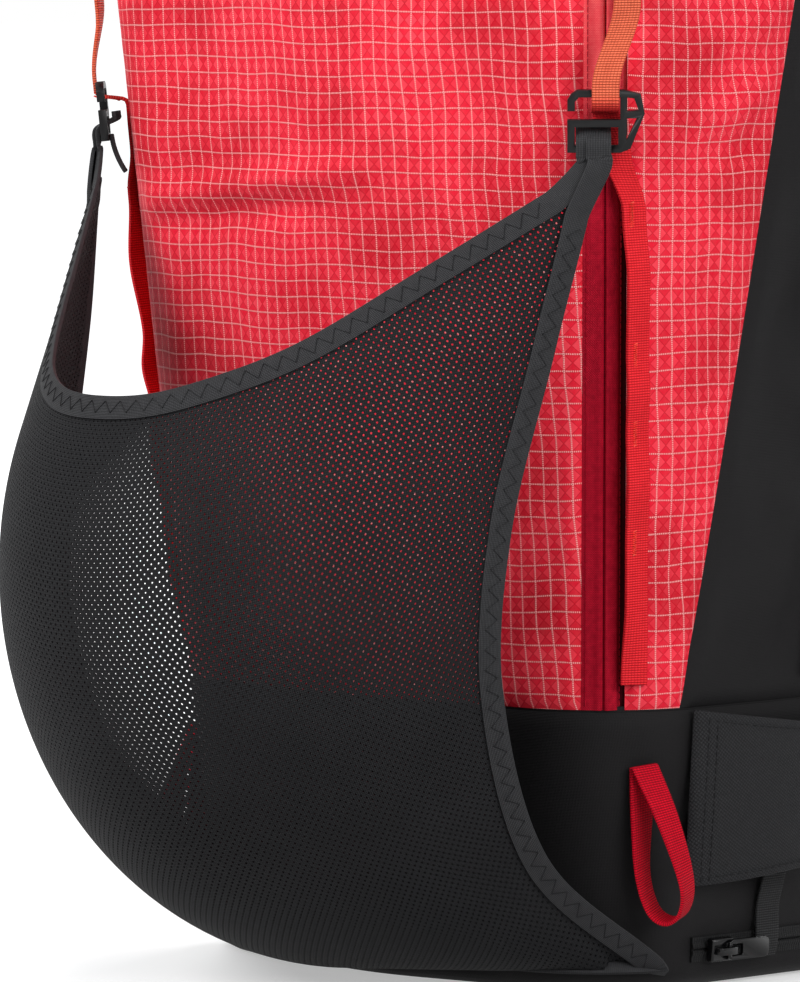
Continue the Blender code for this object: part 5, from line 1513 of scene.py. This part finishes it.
def plump(node, name, voxel=0.0045, pressure=4.0, cap=0.004, hold=None, free=None):
    """Pad blown up from its solid by cloth with pressure, capped and held by a rule. Where free is
    given, it is the share of the swelling that each point keeps."""
    piece = merged_copy(node, name)
    bpy.ops.object.mode_set(mode="EDIT")
    bpy.ops.mesh.select_all(action="SELECT")
    bpy.ops.transform.shrink_fatten(value=-0.0012)
    bpy.ops.object.mode_set(mode="OBJECT")
    worked(piece, "REMESH", mode="VOXEL", voxel_size=voxel)
    start = corners_of(piece)
    normals = corners_of(piece, "normal")
    alone(piece)
    cloth = piece.modifiers.new("cloth", "CLOTH")
    cloth.settings.use_pressure = True
    cloth.settings.uniform_pressure_force = pressure
    cloth.settings.effector_weights.gravity = 0.0
    cloth.point_cache.frame_start = 1
    cloth.point_cache.frame_end = 20
    for moment in range(1, 21):
        scene.frame_set(moment)
    bpy.ops.object.modifier_apply(modifier=cloth.name)
    scene.frame_set(1)
    moved = corners_of(piece) - start
    moved -= moved.mean(axis=0)
    swelling = np.clip(np.sum(moved * normals, axis=1, keepdims=True), 0.0, cap)
    if free:
        swelling *= free(start)
    ended = start + normals * swelling
    if hold:
        ended = hold(ended)
    piece.data.vertices.foreach_set("co", ended.ravel())
    worked(piece, "SUBSURF", levels=1, render_levels=1)
    return piece


def pressed(piece, depth_of):
    """Moves each point in along its normal by depth_of(point)."""
    normals = [vertex.normal.copy() for vertex in piece.data.vertices]
    for vertex, normal in zip(piece.data.vertices, normals):
        vertex.co -= normal * depth_of(vertex.co, normal)
    piece.data.update()


def metres_on(piece, place):
    """UV map in metres from place(point, face normal)."""
    layer = piece.data.uv_layers.new(name="metres")
    for face in piece.data.polygons:
        for corner in face.loop_indices:
            spot = piece.data.vertices[piece.data.loops[corner].vertex_index].co
            layer.data[corner].uv = place(spot, face.normal)


def boxed(spot, normal):
    """Flat projection along the axis that a face looks to."""
    drop = max(range(3), key=lambda k: abs(normal[k]))
    return [spot[k] for k in range(3) if k != drop]


EDGE = Finish("black_edge_tape", "black_webbing", 0.7)
EDGE.colours(EDGE.blend(EDGE.noise(0.0012, 2.0), colour(16, 16, 17), colour(50, 50, 52)))
EDGE.bump(EDGE.noise(0.0009, 2.0), 0.0002, 0.8)


def on_back(points):
    """Keeps a pad out of the back panel."""
    points[:, 1] = np.maximum(points[:, 1], BACK_Y + 0.0006)
    return points


def outline(left, right, low, high, corner, y):
    """Closed loop with round corners on the back."""
    loop = []
    for k in range(4):
        x = (right if k in (0, 3) else left) + (-corner if k in (0, 3) else corner)
        z = (high if k < 2 else low) + (-corner if k < 2 else corner)
        for step in range(9):
            turn = math.pi / 2 * (k + step / 8)
            loop.append(Vector((x + corner * math.cos(turn), y, z + corner * math.sin(turn))))
    return loop + loop[:1]


# %% Back pads
def channelled(spot, lines, depth):
    """Depth of sewn channels at heights z on a pad's face."""
    return sum(depth * math.exp(-(((spot.z - line) / 0.003) ** 2)) for line in lines)


for node, span in (
    ("back_pad_right", (0.016, 0.092, 0.178, 0.392)),
    ("back_pad_left", (-0.092, -0.016, 0.178, 0.392)),
    ("lumbar_pad", (-0.074, 0.074, 0.066, 0.166)),
):
    left, right, low, high = span
    pad = plump(node, f"{node}_foam", hold=on_back)
    lines = [mix(low, high, share) for share in ((0.25, 0.5, 0.75) if "back" in node else (0.5,))]

    def channels(spot, normal, lines=lines):
        return channelled(spot, lines, 0.0042) if normal.y > 0.3 else 0.0

    pressed(pad, channels)
    metres_on(pad, boxed)
    dress(pad, PAD, "bag", node)
    edge = outline(left + 0.002, right - 0.002, low + 0.002, high - 0.002, 0.012, BACK_Y + 0.0022)
    sewn(f"{node}_edge", [edge], 0.0019, EDGE, "bag")
print("back pads: 3")


# %% Yoke
def yoke(s, t):
    x, z = mix(0.108, -0.108, s), mix(0.404, 0.434, t)
    edge = min(0.108 - abs(x), z - 0.404, 0.434 - z)
    swell = 0.0036 * (1 - math.exp(-edge / 0.0022))
    return Vector((x, BACK_Y + CLEAR + 0.0012 + swell, z))


dress(band("yoke_cloth", 90, 24, yoke, 0.001, -1.0), BLACK, "bag", "strap_yoke")
rows = []
for inset in (0.003, 0.0055):
    ring = outline(-0.108 + inset, 0.108 - inset, 0.404 + inset, 0.434 - inset, 0.003, BACK_Y + CLEAR + 0.0047)
    facing = Matrix(((1, 0, 0), (0, 0, 1), (0, -1, 0))).to_4x4()
    rows += stitches([Matrix.Translation(p) @ facing for p in ring])
sewn("yoke_stitches", rows, 0.00028, DARK_THREAD, "bag")
print("yoke: sewn on the back")

# %% Shoulder straps
STRAP_HINGE = Vector((0.070, 0.0991, 0.419))
STRAP_END = Vector((0.104, 0.0, 0.236))
STAND_OFF = 0.082
drop = STRAP_END.z - STRAP_HINGE.z
STRAP_PATH = [
    STRAP_HINGE,
    STRAP_HINGE + Vector((0.002, STAND_OFF * 0.25, 0.028)),
    STRAP_HINGE + Vector((0.006, STAND_OFF * 0.70, 0.018)),
    STRAP_HINGE + Vector((0.011, STAND_OFF, drop * 0.25)),
    STRAP_HINGE + Vector((0.018, STAND_OFF, drop * 0.52)),
    STRAP_HINGE + Vector((0.026, STAND_OFF * 0.85, drop * 0.77)),
    STRAP_HINGE + Vector((0.034, STAND_OFF * 0.62, drop)),
]
STRAP_LINE_POINTS = [spline(STRAP_PATH, k / 240) for k in range(241)]


def shoulder_frame(side, share, lift=0.0):
    """Frame on a shoulder strap: X to the left, Y up along it, Z out on the wearer's side."""
    low, high = max(share - 0.01, 0.0), min(share + 0.01, 1.0)
    along = (spline(STRAP_PATH, low) - spline(STRAP_PATH, high)).normalized()
    across = (along * along.x - Vector((1, 0, 0))).normalized()
    out = across.cross(along)
    made = Matrix((across, along, out)).transposed().to_4x4()
    made.translation = spline(STRAP_PATH, share) + out * lift
    flip = Matrix.Diagonal((side, 1, 1, 1))
    return flip @ made @ flip


def strap_half(share):
    """Half a shoulder strap's width."""
    return mix(0.029, 0.020, max(share - 0.6, 0.0) / 0.4)


def along_strap(side):
    """UV map that follows a shoulder strap."""

    def place(spot, normal):
        here = Vector((side * spot.x, spot.y, spot.z))
        k = min(range(0, 241, 4), key=lambda i: (STRAP_LINE_POINTS[i] - here).length_squared)
        made = shoulder_frame(1, k / 240)
        local = made.inverted() @ here
        return local.x, local.y - k / 240 * 0.36

    return place


for side, word in SIDES:
    strap = plump(f"shoulder_strap_{word}", f"shoulder_foam_{word}", 0.0042, 3.0, 0.003)
    metres_on(strap, along_strap(side))
    dress(strap, PAD, "harness", f"shoulder_strap_{word}")
    edges = []
    for way in (-1, 1):
        edges.append([shoulder_frame(side, k / 80) @ Vector((way * (strap_half(k / 80) - 0.0022), 0, 0)) for k in range(3, 79)])
    sewn(f"shoulder_edge_{word}", edges, 0.0022, EDGE, "harness")
    rows = []
    for way in (-0.62, 0.62):
        line = [shoulder_frame(side, k / 120) @ Matrix.Translation((way * strap_half(k / 120), 0, 0.0064)) for k in range(8, 112)]
        rows += stitches(line, 0.0036)
    sewn(f"shoulder_stitches_{word}", rows, 0.0003, DARK_THREAD, "harness")
    moulded(f"ladder_lock_{word}", PLASTIC, "harness", 0.0006, 3)
print("shoulder straps: 2")

# %% Lower webbing, chest strap and haul loop
def strip_between(name, start, end, start_across, end_across, width, wave):
    """Webbing from one place to another, a little slack."""

    def place(s, t):
        across = start_across.lerp(end_across, t)
        point = start.lerp(end, t) + across * width * (s - 0.5)
        return point + Vector((0, 0, -wave * math.sin(math.pi * t)))

    return band(name, 8, 60, place, WEBBING, 0.0)


for side, word in SIDES:
    lock = shoulder_frame(side, 1.0) @ Matrix.Translation((0, 0.0008 - 0.0124, 0))
    top = lock @ Vector((0, -0.0132, 0))
    anchor = Vector((side * 0.084, BACK_Y + CLEAR + WEBBING / 2, 0.170))
    top_across = lock.to_3x3() @ Vector((1, 0, 0))
    strip = strip_between(f"lower_strip_{word}", anchor, top, Vector((-1, 0, 0)), top_across, 0.018, 0.002)
    dress(strip, BLACK_WEB, None, f"lower_webbing_{word}")
    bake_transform(strip)
    moulded(f"sternum_clip_{word}", PLASTIC, "sternum_strap", 0.0006, 3)
    low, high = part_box(f"sternum_webbing_{word}")
    middle_y = (low.y + high.y) / 2

    def chest(s, t, low=low, high=high, middle_y=middle_y):
        return Vector((mix(high.x, low.x, t), middle_y, mix(low.z, high.z, 1 - s)))

    dress(band(f"chest_webbing_{word}", 8, 40, chest, WEBBING, 0.0), BLACK_WEB, "sternum_strap", f"sternum_webbing_{word}")
moulded("sternum_buckle_socket", PLASTIC, "sternum_strap", 0.0006, 3)
moulded("sternum_buckle_prongs", PLASTIC, "sternum_strap", 0.0005, 3)


def haul(s, t):
    swing = math.pi * t
    hang = math.radians(60)
    out = Vector((0, math.cos(hang), -math.sin(hang)))
    across = Vector((0, math.sin(hang), math.cos(hang)))
    middle = Vector((0.026 * math.cos(swing), BACK_Y + CLEAR + 0.0027, 0.455)) + out * 0.036 * math.sin(swing)
    share = mix(0.30, 1.0, math.sin(swing) ** 0.6 if t < 1 else 0.0)
    return middle + across * 0.018 * share * (s - 0.5)


dress(band("haul_webbing", 8, 80, haul, WEBBING, 0.0), BLACK_WEB, "haul_loop", "haul_loop")
print("webbing of the harness, chest strap and haul loop")

# %% Hip belt
HIP_START = Vector((0.088, 0.0927, 0.116))
HIP_PATH = [HIP_START + Vector(p) for p in ((0, 0, 0), (0.030, 0.0176, 0), (0.056, 0.0462, 0.002), (0.066, 0.077, 0.004), (0.066, 0.110, 0.006))]


def off_the_bag(points):
    """0 where a hip wing is sewn to the back, 1 from 75 mm behind it."""
    return np.clip((points[:, 1:2] - HIP_START.y - 0.030) / 0.045, 0.0, 1.0)


def along_hip(side):
    def place(spot, normal):
        here = Vector((side * spot.x, spot.y, spot.z))
        k = min(range(41), key=lambda i: (spline(HIP_PATH, i / 40).xy - here.xy).length_squared)
        ahead = (spline(HIP_PATH, (k + 1) / 40) - spline(HIP_PATH, (k - 1) / 40)).xy.normalized()
        return k / 40 * 0.14 + (here.xy - spline(HIP_PATH, k / 40).xy).dot(ahead), spot.z

    return place


for side, word in SIDES:
    body = f"hip_belt_{word}"
    wing = plump(f"hip_wing_{word}", f"hip_foam_{word}", 0.0042, 3.0, 0.003, on_back, off_the_bag)

    def quilted(spot, normal):
        return 0.0026 * math.exp(-(((spot.z - 0.118) / 0.003) ** 2)) if abs(normal.z) < 0.7 else 0.0

    pressed(wing, quilted)
    metres_on(wing, along_hip(side))
    dress(wing, PAD, body, f"hip_wing_{word}")
    edges = []
    for way in (-1, 1):
        edge = []
        for k in range(2, 40):
            share = k / 40
            point = spline(HIP_PATH, share)
            tall = mix(0.092, 0.050, share ** 1.4) / 2 - 0.0026
            edge.append(Vector((side * point.x, point.y, point.z + way * tall)))
        edges.append(edge)
    sewn(f"hip_edge_{word}", edges, 0.0022, EDGE, body)
    low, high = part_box(f"hip_webbing_{word}")
    middle_x = (low.x + high.x) / 2

    def belt(s, t, low=low, high=high, middle_x=middle_x):
        return Vector((middle_x, mix(low.y, high.y, t), mix(low.z, high.z, 1 - s)))

    dress(band(f"belt_webbing_{word}", 8, 24, belt, WEBBING, 0.0), BLACK_WEB, body, f"hip_webbing_{word}")
moulded("hip_buckle_socket", PLASTIC, "hip_belt_right", 0.0006, 3)
moulded("hip_buckle_prongs", PLASTIC, "hip_belt_left", 0.0005, 3)
print("hip belt: 2 wings")

# %% [markdown]
# ## Inside
# With the lid open one looks at the lining between the two compartments, the frame sheet and its stay.
# The lining hangs from its sides and sags a little; the sheet and the stay keep their solids' form.

# %% Inside
def lining(s, t):
    z = mix(FABRIC + CLEAR, 0.430, t)
    wide = half_width(max(z, BASE_EDGE)) - FABRIC - CLEAR - (BASE_EDGE if z < BASE_EDGE else 0.0)
    sag = 0.004 * math.sin(math.pi * s) * math.sin(math.pi * t) * math.sin(9 * s + 5 * t)
    return Vector((mix(-wide, wide, s), -0.030 + sag, z))


inner = laid("lining_cloth", 60, 90, lining)
worked(inner, "SOLIDIFY", thickness=0.001, offset=0.0)
dress(inner, LINING, "bag", "pocket_lining")
moulded("frame_sheet", SHEET, "bag", 0.0004, 2)
moulded("stay", STAY, "bag", 0.0005, 3)
print("inside: lining, frame sheet and stay")

# %% Finish
low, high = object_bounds()
